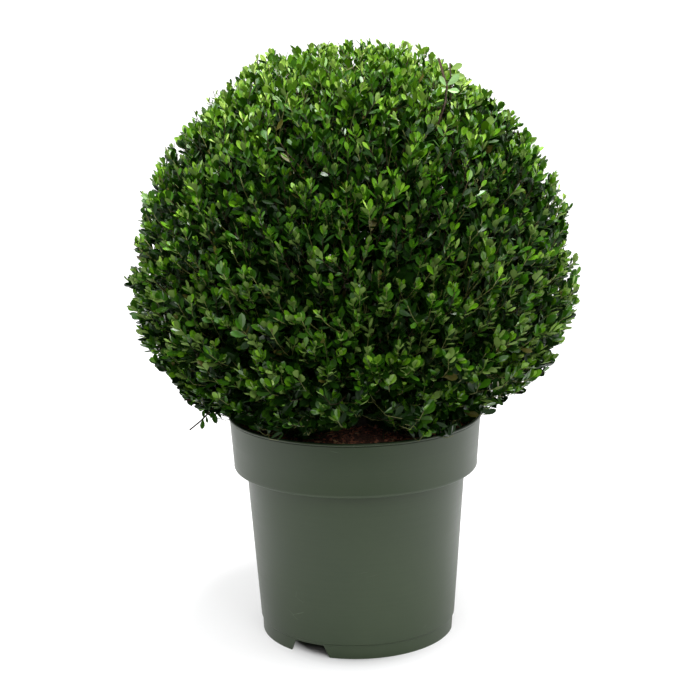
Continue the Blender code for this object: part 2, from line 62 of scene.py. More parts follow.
COLLAR_FOOT_HEIGHT = 0.2290
NECK_RADIUS = 0.1472
FOOT_STEP_HEIGHT = 0.0200
FOOT_STEP_RADIUS = 0.1325
FOOT_RING_RADIUS = 0.1303
FOOT_STEP_DEPTH = 0.0016
FLOOR_HEIGHT = 0.0130
NOTCH_AZIMUTHS = [math.radians(-30 + 120 * turn) for turn in range(3)]
NOTCH_FOOT_WIDTH = 0.058
NOTCH_TOP_WIDTH = 0.043
NOTCH_HEIGHT = 0.0163
NOTCH_CORNER = 0.0025
DRAIN_RADIUS = 0.011
DRAIN_INSET = 0.004
FLOOR_DISC_RADIUS = 0.104
WALL_RING_HEIGHT = 0.10
COLLAR_RING_HEIGHT = 0.26
# the collar's rounded lower edge: how far out and how far up each ring is from its foot
COLLAR_EDGE = ((-0.0012, 0.0), (-0.0001, 0.0007), (0.0006, 0.0020), (0.0005, 0.0042))
CREASE_ANGLE = math.radians(32)
set_mode = bpy.ops.object.mode_set


def start_piece():
    """Leaves nothing selected, so that an operator acts on the new primitive alone."""
    if bpy.context.object and bpy.context.object.mode == "EDIT":
        set_mode(mode="OBJECT")
    bpy.ops.object.select_all(action="DESELECT")


def pick(piece):
    """Selects one piece alone, for an operator to act on."""
    start_piece()
    piece.select_set(True)
    bpy.context.view_layer.objects.active = piece


def apply_modifiers(piece):
    """Makes every modifier on the piece part of its mesh."""
    pick(piece)
    for modifier in list(piece.modifiers):
        bpy.ops.object.modifier_apply(modifier=modifier.name)


def collar_radius(height):
    """Outside radius of the tapered collar at a height."""
    share = (height - COLLAR_FOOT_HEIGHT) / (POT_HEIGHT - COLLAR_FOOT_HEIGHT)
    return COLLAR_FOOT_RADIUS + share * (RIM_RADIUS - LIP_OVERHANG - COLLAR_FOOT_RADIUS)


def wall_radius(height):
    """Outside radius of the tapered wall below the collar at a height."""
    share = (height - FOOT_STEP_HEIGHT) / (COLLAR_FOOT_HEIGHT - FOOT_STEP_HEIGHT)
    return FOOT_STEP_RADIUS + share * (NECK_RADIUS - FOOT_STEP_RADIUS)


def draw_wall(rings):
    """Extrudes a circle ring by ring through (radius, height), the way a turned form is drawn up."""
    start_piece()
    radius, height = rings[0]
    bpy.ops.mesh.primitive_circle_add(vertices=POT_SIDES, radius=radius, location=(0, 0, height))
    piece = bpy.context.object
    bpy.ops.object.transform_apply(location=True)
    set_mode(mode="EDIT")
    bpy.ops.mesh.select_all(action="SELECT")
    for next_radius, next_height in rings[1:]:
        bpy.ops.mesh.extrude_region_move(TRANSFORM_OT_translate={"value": (0, 0, next_height - height)})
        grow = next_radius / radius
        bpy.ops.transform.resize(value=(grow, grow, 1), center_override=(0, 0, 0))
        radius, height = next_radius, next_height
    return piece


ledge = COLLAR_FOOT_HEIGHT + POT_WALL
lip_foot = POT_HEIGHT - LIP_HEIGHT
lip_roll = [
    (RIM_RADIUS - LIP_OVERHANG * (1 - math.cos(turn)),
     POT_HEIGHT - LIP_HEIGHT / 2 * (1 - math.sin(turn)))
    for turn in np.linspace(-math.pi / 2, math.pi / 2, LIP_STEPS)
]
ring_top = FOOT_STEP_RADIUS - FOOT_STEP_DEPTH
floor_top = FLOOR_HEIGHT + POT_WALL
pot = draw_wall([
    (FLOOR_DISC_RADIUS, FLOOR_HEIGHT),
    (ring_top - POT_WALL, FLOOR_HEIGHT),
    (FOOT_RING_RADIUS - POT_WALL, 0.0),
    (FOOT_RING_RADIUS, 0.0),
    (ring_top, FOOT_STEP_HEIGHT - FOOT_STEP_DEPTH),
    (FOOT_STEP_RADIUS, FOOT_STEP_HEIGHT),
    (wall_radius(WALL_RING_HEIGHT), WALL_RING_HEIGHT),
    (NECK_RADIUS, COLLAR_FOOT_HEIGHT),
    *[(COLLAR_FOOT_RADIUS + out, COLLAR_FOOT_HEIGHT + up) for out, up in COLLAR_EDGE],
    (collar_radius(COLLAR_RING_HEIGHT), COLLAR_RING_HEIGHT),
    (collar_radius(lip_foot), lip_foot - GROOVE_HEIGHT - GROOVE_EDGE),
    (collar_radius(lip_foot) - GROOVE_DEPTH, lip_foot - GROOVE_HEIGHT),
    (collar_radius(lip_foot) - GROOVE_DEPTH, lip_foot),
    *lip_roll,
    (collar_radius(POT_HEIGHT) - POT_WALL, POT_HEIGHT),
    (collar_radius(ledge) - POT_WALL, ledge),
    (wall_radius(ledge) - POT_WALL, ledge),
    (wall_radius(floor_top) - POT_WALL, floor_top),
    (FLOOR_DISC_RADIUS, floor_top),
])
# both rings in the middle of the floor are closed by a disc
bpy.ops.mesh.edge_face_add()
bpy.ops.mesh.select_all(action="DESELECT")
set_mode(mode="OBJECT")
for vertex in pot.data.vertices[:POT_SIDES]:
    vertex.select = True
set_mode(mode="EDIT")
bpy.ops.mesh.edge_face_add()
bpy.ops.mesh.select_all(action="SELECT")
bpy.ops.mesh.normals_make_consistent(inside=False)
set_mode(mode="OBJECT")
pot.name = "nursery_pot"

cutters = []
for azimuth in NOTCH_AZIMUTHS:
    turned = Matrix.Rotation(azimuth, 3, "Z")
    start_piece()
    bpy.ops.mesh.primitive_cube_add(size=1)
    notch = bpy.context.object
    notch.scale = (NOTCH_FOOT_WIDTH, 6 * POT_WALL, 2 * NOTCH_HEIGHT)
    bpy.ops.object.transform_apply(scale=True)
    for vertex in notch.data.vertices:
        taper = (NOTCH_FOOT_WIDTH - NOTCH_TOP_WIDTH) / 2
        vertex.co.x -= math.copysign(taper, vertex.co.x * vertex.co.z)
    bevel = notch.modifiers.new("round_corners", "BEVEL")
    bevel.width = NOTCH_CORNER
    bevel.segments = 5
    apply_modifiers(notch)
    notch.location = turned @ Vector((0, -FOOT_RING_RADIUS, 0))
    notch.rotation_euler = (0, 0, azimuth)
    bpy.ops.object.transform_apply(location=True, rotation=True)
    cutters.append(notch)
    start_piece()
    bpy.ops.mesh.primitive_cylinder_add(vertices=32, radius=DRAIN_RADIUS, depth=6 * POT_WALL)
    drain = bpy.context.object
    drain.location = turned @ Vector((0, -FLOOR_DISC_RADIUS + DRAIN_INSET, FLOOR_HEIGHT))
    bpy.ops.object.transform_apply(location=True)
    cutters.append(drain)
for cutter in cutters:
    cut = pot.modifiers.new("drainage", "BOOLEAN")
    cut.operation = "DIFFERENCE"
    cut.object = cutter
apply_modifiers(pot)
for cutter in cutters:
    bpy.data.objects.remove(cutter)
bpy.ops.object.shade_smooth_by_angle(angle=CREASE_ANGLE)
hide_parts("pot")
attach(pot, "root")


def node_maker(owner):
    """Returns the two functions that add and join the nodes of a material or of the world."""
    tree = owner.node_tree

    def add(kind, **values):
        made = tree.nodes.new(kind)
        for key, value in values.items():
            if key in made.inputs:
                made.inputs[key].default_value = value
            else:
                setattr(made, key, value)
        return made

    def join(source, output, target, socket):
        tree.links.new(source.outputs[output], target.inputs[socket])

    return add, join


def map_range(add, *limits):
    """A node that maps the first two limits to the last two, or to 0 and 1."""
    made = add("ShaderNodeMapRange")
    for socket, limit in zip(("From Min", "From Max", "To Min", "To Max"), limits):
        made.inputs[socket].default_value = limit
    return made


def colour_ramp(add, stops):
    """A colour ramp through stops of a position and a colour."""
    made = add("ShaderNodeValToRGB")
    elements = made.color_ramp.elements
    for position, colour in stops:
        elements.new(position).color = (*colour, 1)
    elements.remove(elements[0])
    elements.remove(elements[-1])
    return made


def new_material(name, colour, roughness, **sockets):
    """A material and its shader; sockets name further inputs, such as specular_ior_level."""
    made = bpy.data.materials.new(name)
    made.use_nodes = True
    shader = made.node_tree.nodes["Principled BSDF"]
    shader.inputs["Base Color"].default_value = (*colour, 1)
    shader.inputs["Roughness"].default_value = roughness
    for socket, value in sockets.items():
        shader.inputs[socket.replace("_", " ").title().replace("Ior", "IOR")].default_value = value
    return made, shader


def paint(piece, material):
    """Gives a piece this material and no other."""
    piece.data.materials.clear()
    piece.data.materials.append(material)


plastic, plastic_shader = new_material("pot_plastic", (0.028, 0.046, 0.018), 0.4, specular_ior_level=0.42)
add, join = node_maker(plastic)
place = add("ShaderNodeTexCoord")
# a thin cloudy film of dust over the fine drawn lines that the mould leaves round the wall
cloud = add("ShaderNodeTexNoise", Scale=9.0, Detail=6.0, Roughness=0.6)
lines_place = add("ShaderNodeMapping", Scale=(3.0, 3.0, 420.0))
drawn = add("ShaderNodeTexNoise", Scale=1.0, Detail=3.0, Roughness=0.7)
blend = add("ShaderNodeMath", operation="MULTIPLY_ADD")
blend.inputs[1].default_value = 0.35
film = colour_ramp(add, ((0.50, (0.0225, 0.0400, 0.0145)), (0.92, (0.0325, 0.0510, 0.0220))))
join(place, "Object", cloud, "Vector")
join(place, "Object", lines_place, "Vector")
join(lines_place, "Vector", drawn, "Vector")
join(drawn, "Fac", blend, 0)
join(cloud, "Fac", blend, 2)
join(blend, "Value", film, "Fac")
# short pale scuffs where other pots have rubbed against the wall
scuff_place = add("ShaderNodeMapping", Scale=(26.0, 26.0, 60.0), Rotation=(0.5, 0.3, 0.0))
scuff = add("ShaderNodeTexVoronoi", Scale=1.0, Randomness=1.0, feature="DISTANCE_TO_EDGE")
scuff_cover = add("ShaderNodeTexNoise", Scale=14.0, Detail=3.0)
scuff_line = map_range(add, 0.012, 0.002)
scuff_where = map_range(add, 0.66, 0.72)
scuff_mask = add("ShaderNodeMath", operation="MULTIPLY")
scuffed = add("ShaderNodeMix", data_type="RGBA")
scuffed.inputs["B"].default_value = (0.095, 0.125, 0.080, 1)
join(place, "Object", scuff_place, "Vector")
join(scuff_place, "Vector", scuff, "Vector")
join(place, "Object", scuff_cover, "Vector")
join(scuff, "Distance", scuff_line, "Value")
join(scuff_cover, "Fac", scuff_where, "Value")
join(scuff_line, "Result", scuff_mask, 0)
join(scuff_where, "Result", scuff_mask, 1)
join(scuff_mask, "Value", scuffed, "Factor")
join(film, "Color", scuffed, "A")
join(scuffed, "Result", plastic_shader, "Base Color")
gloss = map_range(add, 0.35, 0.95, 0.34, 0.50)
join(blend, "Value", gloss, "Value")
join(gloss, "Result", plastic_shader, "Roughness")
grain = add("ShaderNodeTexNoise", Scale=900.0, Detail=2.0)
uneven = add("ShaderNodeMath", operation="ADD")
relief = add("ShaderNodeBump", Strength=0.10, Distance=0.0004)
join(place, "Object", grain, "Vector")
join(grain, "Fac", uneven, 0)
join(drawn, "Fac", uneven, 1)
join(uneven, "Value", relief, "Height")
join(relief, "Normal", plastic_shader, "Normal")
paint(pot, plastic)


# ------------------------ potting mix
# Damp peat and composted bark, filled to just under the rim. The body of the mix keeps its
# solid, and crumbs of peat and flat chips of bark lie on its top.
MIX_EDGE_HEIGHT = 0.2815
MIX_CENTRE_HEIGHT = 0.2855
MIX_FLAT_RADIUS = 0.042
MIX_RADIUS = collar_radius(MIX_EDGE_HEIGHT) - POT_WALL
STEM_CLEARANCE = 0.030
CRUMBS = 3600
CRUMB_SIZES = (0.0009, 0.0027)
CRUMB_SHARES = (0.6, 0.4)
CHIPS = 420
CHIP_SIZES = ((0.003, 0.009), (0.0012, 0.0030), (0.0006, 0.0014))
CHIP_SHARES = (0.45, 0.42, 0.13)
CHIP_LIFT = 0.0012
mix_draw = np.random.default_rng(11)


def speckled_material(name, colour, roughness, noise, stops, relief):
    """A material whose colour and relief, given as strength and depth, follow one noise."""
    scale, detail, rough = noise
    made, shader = new_material(name, colour, roughness)
    add, join = node_maker(made)
    place = add("ShaderNodeTexCoord")
    speckle = add("ShaderNodeTexNoise", Scale=scale, Detail=detail, Roughness=rough)
    tone = colour_ramp(add, stops)
    bump = add("ShaderNodeBump", Strength=relief[0], Distance=relief[1])
    join(place, "Object", speckle, "Vector")
    join(speckle, "Fac", tone, "Fac")
    join(tone, "Color", shader, "Base Color")
    join(speckle, "Fac", bump, "Height")
    join(bump, "Normal", shader, "Normal")
    return made


def mix_height(x, y):
    """Height of the mix's mounded top."""
    radius = np.hypot(x, y)
    share = np.clip((MIX_RADIUS - radius) / (MIX_RADIUS - MIX_FLAT_RADIUS), 0, 1)
    return MIX_EDGE_HEIGHT + np.sin(share * math.pi / 2) * (MIX_CENTRE_HEIGHT - MIX_EDGE_HEIGHT)


def mesh_piece(name, points, faces, materials, face_material=None, smooth=True):
    """One object from arrays of points and of three-cornered faces."""
    mesh = bpy.data.meshes.new(name)
    mesh.vertices.add(len(points))
    mesh.vertices.foreach_set("co", np.ascontiguousarray(points, np.float32).ravel())
    mesh.loops.add(faces.size)
    mesh.loops.foreach_set("vertex_index", np.ascontiguousarray(faces, np.int32).ravel())
    mesh.polygons.add(len(faces))
    mesh.polygons.foreach_set("loop_start", np.arange(0, faces.size, 3, dtype=np.int32))
    mesh.polygons.foreach_set("loop_total", np.full(len(faces), 3, np.int32))
    for material in materials:
        mesh.materials.append(material)
    if face_material is not None:
        mesh.polygons.foreach_set("material_index", np.ascontiguousarray(face_material, np.int32))
    mesh.polygons.foreach_set("use_smooth", np.full(len(faces), smooth))
    mesh.update(calc_edges=True)
    mesh.validate()
    piece = bpy.data.objects.new(name, mesh)
    bpy.context.scene.collection.objects.link(piece)
    return piece


def unit(vectors):
    """Each vector, along the last axis, made one long."""
    return vectors / np.maximum(np.linalg.norm(vectors, axis=-1, keepdims=True), 1e-9)


def stamp(template, faces, places, axes, sizes):
    """Copies a template to each place, with three unit vectors and three lengths for each."""
    scaled = template[None] * sizes[:, None, :]
    points = places[:, None, :] + np.einsum("nkj,nji->nki", scaled, axes)
    offsets = np.arange(len(places))[:, None, None] * len(template)
    return points.reshape(-1, 3), (faces[None] + offsets).reshape(-1, 3)


def lump_template():
    """Points and faces of a rough pebble, taken from an icosphere with its corners shifted."""
    start_piece()
    bpy.ops.mesh.primitive_ico_sphere_add(subdivisions=1, radius=1)
    ball = bpy.context.object
    points = np.array([vertex.co for vertex in ball.data.vertices])
    faces = np.array([face.vertices for face in ball.data.polygons])
    bpy.data.objects.remove(ball)
    return points * mix_draw.uniform(0.7, 1.15, (len(points), 1)), faces


def random_axes(count, flat):
    """Three unit vectors each, the last leaning from upright by no more than flat allows."""
    up = unit(np.array([0, 0, 1.0]) + mix_draw.normal(0, flat, (count, 3)))
    side = unit(np.cross(up, mix_draw.normal(0, 1, (count, 3))))
    return np.stack([side, np.cross(up, side), up], axis=1)


def scatter_on_mix(count, margin):
    """Places spread over the mix, clear of the stem and of the wall."""
    radius = np.sqrt(mix_draw.uniform(STEM_CLEARANCE ** 2, (MIX_RADIUS - margin) ** 2, count))
    angle = mix_draw.uniform(0, math.tau, count)
    x, y = radius * np.cos(angle), radius * np.sin(angle)
    return np.stack([x, y, mix_height(x, y)], axis=1)


peat = speckled_material(
    "potting_mix", (0.020, 0.011, 0.006), 0.95, (260.0, 5.0, 0.7),
    ((0.32, (0.045, 0.019, 0.012)), (0.72, (0.240, 0.095, 0.055))), (0.7, 0.0015),
)
paint(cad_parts["potting_mix"], peat)

lump_materials = [new_material(*values)[0] for values in (
    ("peat_crumb", (0.190, 0.080, 0.050), 0.95),
    ("bark_crumb_red", (0.440, 0.170, 0.095), 0.9),
    ("wood_fibre", (0.52, 0.33, 0.17), 0.85),
)]

lump, lump_faces = lump_template()
sizes = mix_draw.uniform(*CRUMB_SIZES, (CRUMBS, 1)) * mix_draw.uniform(0.7, 1.2, (CRUMBS, 3))
points, faces = stamp(lump, lump_faces, scatter_on_mix(CRUMBS, 0.004), random_axes(CRUMBS, 0.6), sizes)
kinds = np.repeat(mix_draw.choice(2, CRUMBS, p=CRUMB_SHARES), len(lump_faces))
crumbs = mesh_piece("peat_crumbs", points, faces, lump_materials[:2], kinds, False)
sizes = np.stack([mix_draw.uniform(*limits, CHIPS) for limits in CHIP_SIZES], axis=1)
chip_places = scatter_on_mix(CHIPS, 0.012) + (0, 0, CHIP_LIFT)
points, faces = stamp(lump, lump_faces, chip_places, random_axes(CHIPS, 0.18), sizes)
kinds = np.repeat(mix_draw.choice(3, CHIPS, p=CHIP_SHARES), len(lump_faces))
chips = mesh_piece("bark_chips", points, faces, lump_materials, kinds, False)
for piece in (crumbs, chips):
    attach(piece, "root")


# ------------------------ main stem and boughs
# The foot of the shrub: a short woody stem flared where it enters the mix and swollen where
# years of clipping have made the boughs leave it together. The bark is grey-brown, thin and
# faintly ridged.
STEM_RADIUS = 0.0145
STEM_FLARE = 0.0105
STEM_FLARE_REACH = 0.013
STEM_LEAN = Vector((0.006, 0.004, 0.0))
BURR_RADIUS = 0.0185
BURR_CENTRE = Vector((STEM_LEAN.x, STEM_LEAN.y, 0.374))
STEM_SIDES = 60
STEM_CUTS = 44
BUTTRESSES = 5
BUTTRESS_RELIEF = 0.35
STEM_RELIEF = 0.0022
BOUGH_RELIEF = 0.0012
BOUGH_RADIUS = 0.0055
BOUGH_TIP_RADIUS = 0.0032
# how much of the way to the clipped surface a bough goes, how far it keeps its first and its
# last direction, as shares of its length, and its polar angle where it leaves the stem
BOUGH_END = 0.50
BOUGH_START_PULL = 0.42
BOUGH_END_PULL = 0.25
BOUGH_ROOT_POLAR = {"cap": 0, "upper": 44, "skirt": 88}
MERGE_DISTANCE = 0.00002

bark = speckled_material(
    "holly_bark", (0.13, 0.105, 0.08), 0.85, (110.0, 6.0, 0.65),
    ((0.3, (0.055, 0.042, 0.030)), (0.75, (0.200, 0.165, 0.125))), (0.6, 0.0010),
)

bark_relief = bpy.data.textures.new("bark_relief", "CLOUDS")
bark_relief.noise_scale = 0.006
bark_relief.noise_depth = 3


def close_seams():
    """Merges the corners of the active mesh that lie together and turns its faces outward."""
    set_mode(mode="EDIT")
    bpy.ops.mesh.select_all(action="SELECT")
    bpy.ops.mesh.remove_doubles(threshold=MERGE_DISTANCE)
    bpy.ops.mesh.normals_make_consistent(inside=False)
    set_mode(mode="OBJECT")


def finish_limb(piece, node, strength):
    """Gives a limb the bark's relief and finish, and puts it in the place of its solid."""
    raised = piece.modifiers.new("bark", "DISPLACE")
    raised.texture = bark_relief
    raised.texture_coords = "LOCAL"
    raised.strength = strength
    raised.mid_level = 0.62
    apply_modifiers(piece)
    bpy.ops.object.shade_smooth()
    paint(piece, bark)
    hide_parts(node)
    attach(piece, "root")


stem_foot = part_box("main_stem")[0].z
stem_top = BURR_CENTRE.z + BURR_RADIUS
neck_top = BURR_CENTRE.z - math.sqrt(BURR_RADIUS ** 2 - STEM_RADIUS ** 2)
start_piece()
bpy.ops.mesh.primitive_cylinder_add(vertices=STEM_SIDES, radius=1, depth=1, end_fill_type="NGON")
stem = bpy.context.object
stem.name = "holly_stem"
set_mode(mode="EDIT")
for cut in range(1, STEM_CUTS):
    bpy.ops.mesh.select_all(action="SELECT")
    bpy.ops.mesh.bisect(plane_co=(0, 0, cut / STEM_CUTS - 0.5), plane_no=(0, 0, 1))
set_mode(mode="OBJECT")
for vertex in stem.data.vertices:
    share = vertex.co.z + 0.5
    height = stem_foot + share * (stem_top - stem_foot)
    angle = math.atan2(vertex.co.x, -vertex.co.y)
    flare = math.exp(-(height - stem_foot) / STEM_FLARE_REACH)
    radius = STEM_RADIUS + STEM_FLARE * flare * (1 + BUTTRESS_RELIEF * math.cos(BUTTRESSES * angle))
    if height > neck_top:
        radius = math.sqrt(max(0.0, BURR_RADIUS ** 2 - (height - BURR_CENTRE.z) ** 2))
    lean = STEM_LEAN * min(1.0, (height - stem_foot) / (BURR_CENTRE.z - stem_foot))
    vertex.co = (lean.x + radius * math.sin(angle), lean.y - radius * math.cos(angle), height)
close_seams()
finish_limb(stem, "main_stem", STEM_RELIEF)

# The crown's clipped outline: half ellipses whose powers square them a little, and the places
# where the clipping swells or falls back: azimuth, polar angle, their spreads and the height.
CROWN_CENTRE = np.array([0.0, 0.0, 0.478])
CROWN_RADIUS = 0.2900
CROWN_RISE = 0.3125
CROWN_DROP = 0.192
CROWN_TOP_POWER = 2.05
CROWN_BOTTOM_POWER = 2.33
CROWN_LUMP = 0.0045
CROWN_FEATURES = (
    (-90, 76, 16, 6, -0.006),
    (-92, 90, 20, 8, 0.003),
    (-86, 127, 24, 8, 0.018),
    (88, 121, 34, 9, 0.009),
    (-32, 138, 15, 8, 0.009),
    (33, 134, 15, 8, 0.015),
    (8, 124, 5, 15, -0.070),
    (-2, 141, 15, 9, -0.034),
    (152, 130, 22, 9, 0.010),
    (66, 133, 24, 9, -0.014),
    (90, 118, 26, 8, -0.012),
    (-60, 131, 20, 9, -0.006),
    (-82, 114, 26, 8, -0.009),
    (-90, 31, 44, 9, -0.011),
    (-90, 18, 30, 6, 0.006),
    (90, 33, 44, 9, -0.005),
    (90, 96, 40, 16, -0.004),
    (90, 10, 50, 9, -0.004),
    (-90, 70, 40, 32, -0.006),
    (0, 0, 900, 14, -0.007),
)


def angles_of(ways):
    """Azimuth from the front and polar angle from the top of each direction, in radians."""
    return np.arctan2(ways[..., 0], -ways[..., 1]), np.arccos(np.clip(ways[..., 2], -1, 1))


def bump(azimuth, polar, at_azimuth, at_polar, wide, tall):
    """A smooth bump, one high at its middle, over angles in degrees."""
    sideways = ((azimuth - at_azimuth + 180) % 360 - 180) / wide
    return np.exp(-sideways ** 2 - ((polar - at_polar) / tall) ** 2)


def reach(ways):
    """Distance from the crown's centre to the clipped surface along each unit direction."""
    above = ways[..., 2] >= 0
    power = np.where(above, CROWN_TOP_POWER, CROWN_BOTTOM_POWER)
    height = np.where(above, CROWN_RISE, CROWN_DROP)
    level = np.hypot(ways[..., 0], ways[..., 1])
    summed = (level / CROWN_RADIUS) ** power + (np.abs(ways[..., 2]) / height) ** power
    distance = summed ** (-1 / power)
    azimuth, polar = np.degrees(angles_of(ways))
    for *where, swell in CROWN_FEATURES:
        distance = distance + swell * bump(azimuth, polar, *where)
    lump = (
        np.sin(9 * ways[..., 0] + 5 * ways[..., 2] + 1.3)
        + np.sin(8 * ways[..., 1] - 6 * ways[..., 2] + 0.4)
        + np.sin(11 * ways[..., 2] + 7 * ways[..., 0] - 4 * ways[..., 1] + 2.1)
    ) / 3
    return distance + CROWN_LUMP * lump


def direction_to(azimuth, polar):
    """Unit direction at an azimuth from the front and a polar angle from the top."""
    level = math.sin(polar)
    return Vector((level * math.sin(azimuth), -level * math.cos(azimuth), math.cos(polar)))


# The masses, as the solids divide the ball: name, azimuth, half width, top and bottom
CAP_EDGE, UPPER_EDGE, SKIRT_EDGE = (math.radians(angle) for angle in (36, 86, 148))
RINGS = (("upper", 5, -24, CAP_EDGE, UPPER_EDGE), ("skirt", 6, -20, UPPER_EDGE, SKIRT_EDGE))
masses = [("cap", 0.0, math.pi, 0.0, CAP_EDGE)]
for ring, count, first_azimuth, top, bottom in RINGS:
    for index in range(count):
        azimuth = math.radians(first_azimuth) + math.tau * index / count
        masses.append((f"{ring}_{index + 1}", azimuth, math.pi / count, top, bottom))

middles = []
for name, azimuth, half_width, top, bottom in masses:
    middle = Vector((0, 0, 1)) if name == "cap" else direction_to(azimuth, (top + bottom) / 2)
    root_way = direction_to(azimuth, math.radians(BOUGH_ROOT_POLAR[name.split("_")[0]]))
    extent = float(reach(np.array(middle)))
    start = BURR_CENTRE + root_way * (BURR_RADIUS - 0.0015)
    end = Vector(CROWN_CENTRE) + middle * extent * BOUGH_END
    length = (end - start).length
    start_piece()
    bpy.ops.curve.primitive_bezier_curve_add()
    bough = bpy.context.object
    bough.name = f"holly_bough_{name}"
    first, last = bough.data.splines[0].bezier_points
    for point in (first, last):
        point.handle_left_type = point.handle_right_type = "FREE"
    first.co, last.co = start, end
    first.handle_right = start + root_way * length * BOUGH_START_PULL
    first.handle_left = start - root_way * 0.01
    last.handle_left = end - middle * length * BOUGH_END_PULL
    last.handle_right = end + middle * 0.01
    first.radius = 1.0
    last.radius = BOUGH_TIP_RADIUS / BOUGH_RADIUS
    bough.data.bevel_depth = BOUGH_RADIUS
    bough.data.bevel_resolution = 5
    bough.data.resolution_u = 60
    bough.data.use_fill_caps = True
    bpy.ops.object.convert(target="MESH")
    bough = bpy.context.object
    close_seams()
    finish_limb(bough, f"bough_{name}", BOUGH_RELIEF)
    middles.append(np.array(middle))
middles = np.array(middles)


# ------------------------ twigs
# From each bough's tip the wood divides again and again: branches, a twig to each tuft of
# leaves and thin shoots, brown when old and green when young, turned up to the light and cut
# off by the shears where they reached the ball's surface. Weaker ones stand back in the shade.
BRANCHES = 96
BRANCH_REACH = 0.62
TWIGS = 640
TWIG_REACH = 0.795
OUTER_SHOOTS = 3000
INNER_SHOOTS = 3200
DEEP_SHOOTS = 1500
SHOOT_LENGTH = 0.058
SHOOT_RADIUS = 0.00064
TWIG_RADIUS = 0.0013
BRANCH_RADIUS = 0.0026
BRANCH_STEPS = 8
TWIG_STEPS = 7
SHOOT_STEPS = 6
CURVE_BEND = 0.35
CLEFT_DEPTH = 0.026
CLEFT_WIDTH = 0.055
# how far under the clipped surface the shoots end: mean and spread, or from least to most
OUTER_DEPTH = (0.002, 0.006)
INNER_DEPTHS = (0.019, 0.058)
DEEP_DEPTHS = (0.055, 0.115)
PROUD_DEPTHS = (-0.010, 0.0)
PROUD_SHARE = 0.14
YOUNG_DEPTHS = (-0.008, 0.002)
CLEAR_OVER_RIM = 0.0008
CLEAR_OUTSIDE_RIM = 0.0010
CLEAR_INSIDE_WALL = 0.002
CLEAR_OVER_MIX = 0.003
growth = np.random.default_rng(23)
SKY = np.array([0, 0, 1.0])
# sprigs that stand out of the ball: where each ends and which way it points there
STRAYS = (
    ((-0.2155, -0.070, 0.296), (-0.85, -0.10, -0.56)),
    ((-0.220, -0.080, 0.339), (-0.95, -0.10, 0.12)),
    ((0.108, -0.105, 0.768), (-0.22, 0.49, 0.84)),
    ((0.122, -0.100, 0.762), (-0.05, 0.35, 0.93)),
)
STRAY_RADIUS = 0.0012
# one stray is an old twig, cut off: which, its radius and its points from the shade outward
CUT_TWIG = 2
CUT_TWIG_RADIUS = 0.0018
CUT_TWIG_POINTS = (
    (0.103, -0.150, 0.685), (0.107, -0.157, 0.700), (0.114, -0.142, 0.718), (0.117, -0.125, 0.7336),
    (0.108, -0.105, 0.768),
)
# where the clipping has left so little that the light behind shows through: azimuth, polar
# angle, spreads and the share of the shoots that is missing
THIN_PLACES = (
    (72, 124, 26, 7, 0.80),
    (-72, 127, 16, 6, 0.60),
)
# where a tuft of soft new sprigs stands, as seen from the middle of the ball, and how wide
SOFT_TUFT = np.array([0.02, -0.425, 0.905])
SOFT_TUFT_SPREAD = math.radians(3.6)
# pockets where the sprays stand apart and the shade inside shows
POCKETS = 130
POCKET_REACH = 0.042
POCKET_SHARE = 0.85
# the small window under the right-hand overhang: its ends and its radius
WINDOW_NEAR = np.array([0.158, -0.22, 0.390])
WINDOW_FAR = np.array([0.200, 0.27, 0.277])
WINDOW_RADIUS = 0.013
WINDOW_SHARE = 0.7


def even_directions(count, wander):
    """Unit directions spread evenly by a golden spiral, each a little astray."""
    index = np.arange(count)
    height = 1 - (2 * index + 1) / count
    azimuth = index * math.radians(137.508)
    level = np.sqrt(1 - height ** 2)
    ways = np.stack([level * np.cos(azimuth), level * np.sin(azimuth), height], axis=1)
    return unit(ways + growth.normal(0, wander, (count, 3)))


def mass_of(ways):
    """Which mass each direction falls in, or -1 in the open bottom of the ball."""
    azimuth, polar = angles_of(ways)
    found = np.full(len(ways), -1)
    for index, (name, middle, half_width, top, bottom) in enumerate(masses):
        aside = np.abs((azimuth - middle + math.pi) % math.tau - math.pi)
        found[(aside <= half_width) & (polar >= top) & (polar < bottom)] = index
    return found


def nearest(ways, targets):
    """Which target each direction is closest to."""
    return np.argmax(ways @ targets.T, axis=1)


def curves(starts, start_ways, ends, end_ways, steps):
    """Points along a cubic curve from each start to each end, leaving and arriving along the ways."""
    length = np.linalg.norm(ends - starts, axis=1, keepdims=True)
    first = starts + start_ways * length * CURVE_BEND
    second = ends - end_ways * length * CURVE_BEND
    share = np.linspace(0, 1, steps)[None, :, None]
    back = 1 - share
    return (
        back ** 3 * starts[:, None] + 3 * back ** 2 * share * first[:, None]
        + 3 * back * share ** 2 * second[:, None] + share ** 3 * ends[:, None]
    )


def tangents_of(lines):
    """Unit tangents at each point of each line."""
    ahead = np.concatenate([lines[:, 1:], 2 * lines[:, -1:] - lines[:, -2:-1]], axis=1)
    behind = np.concatenate([2 * lines[:, :1] - lines[:, 1:2], lines[:, :-1]], axis=1)
    return unit(ahead - behind)


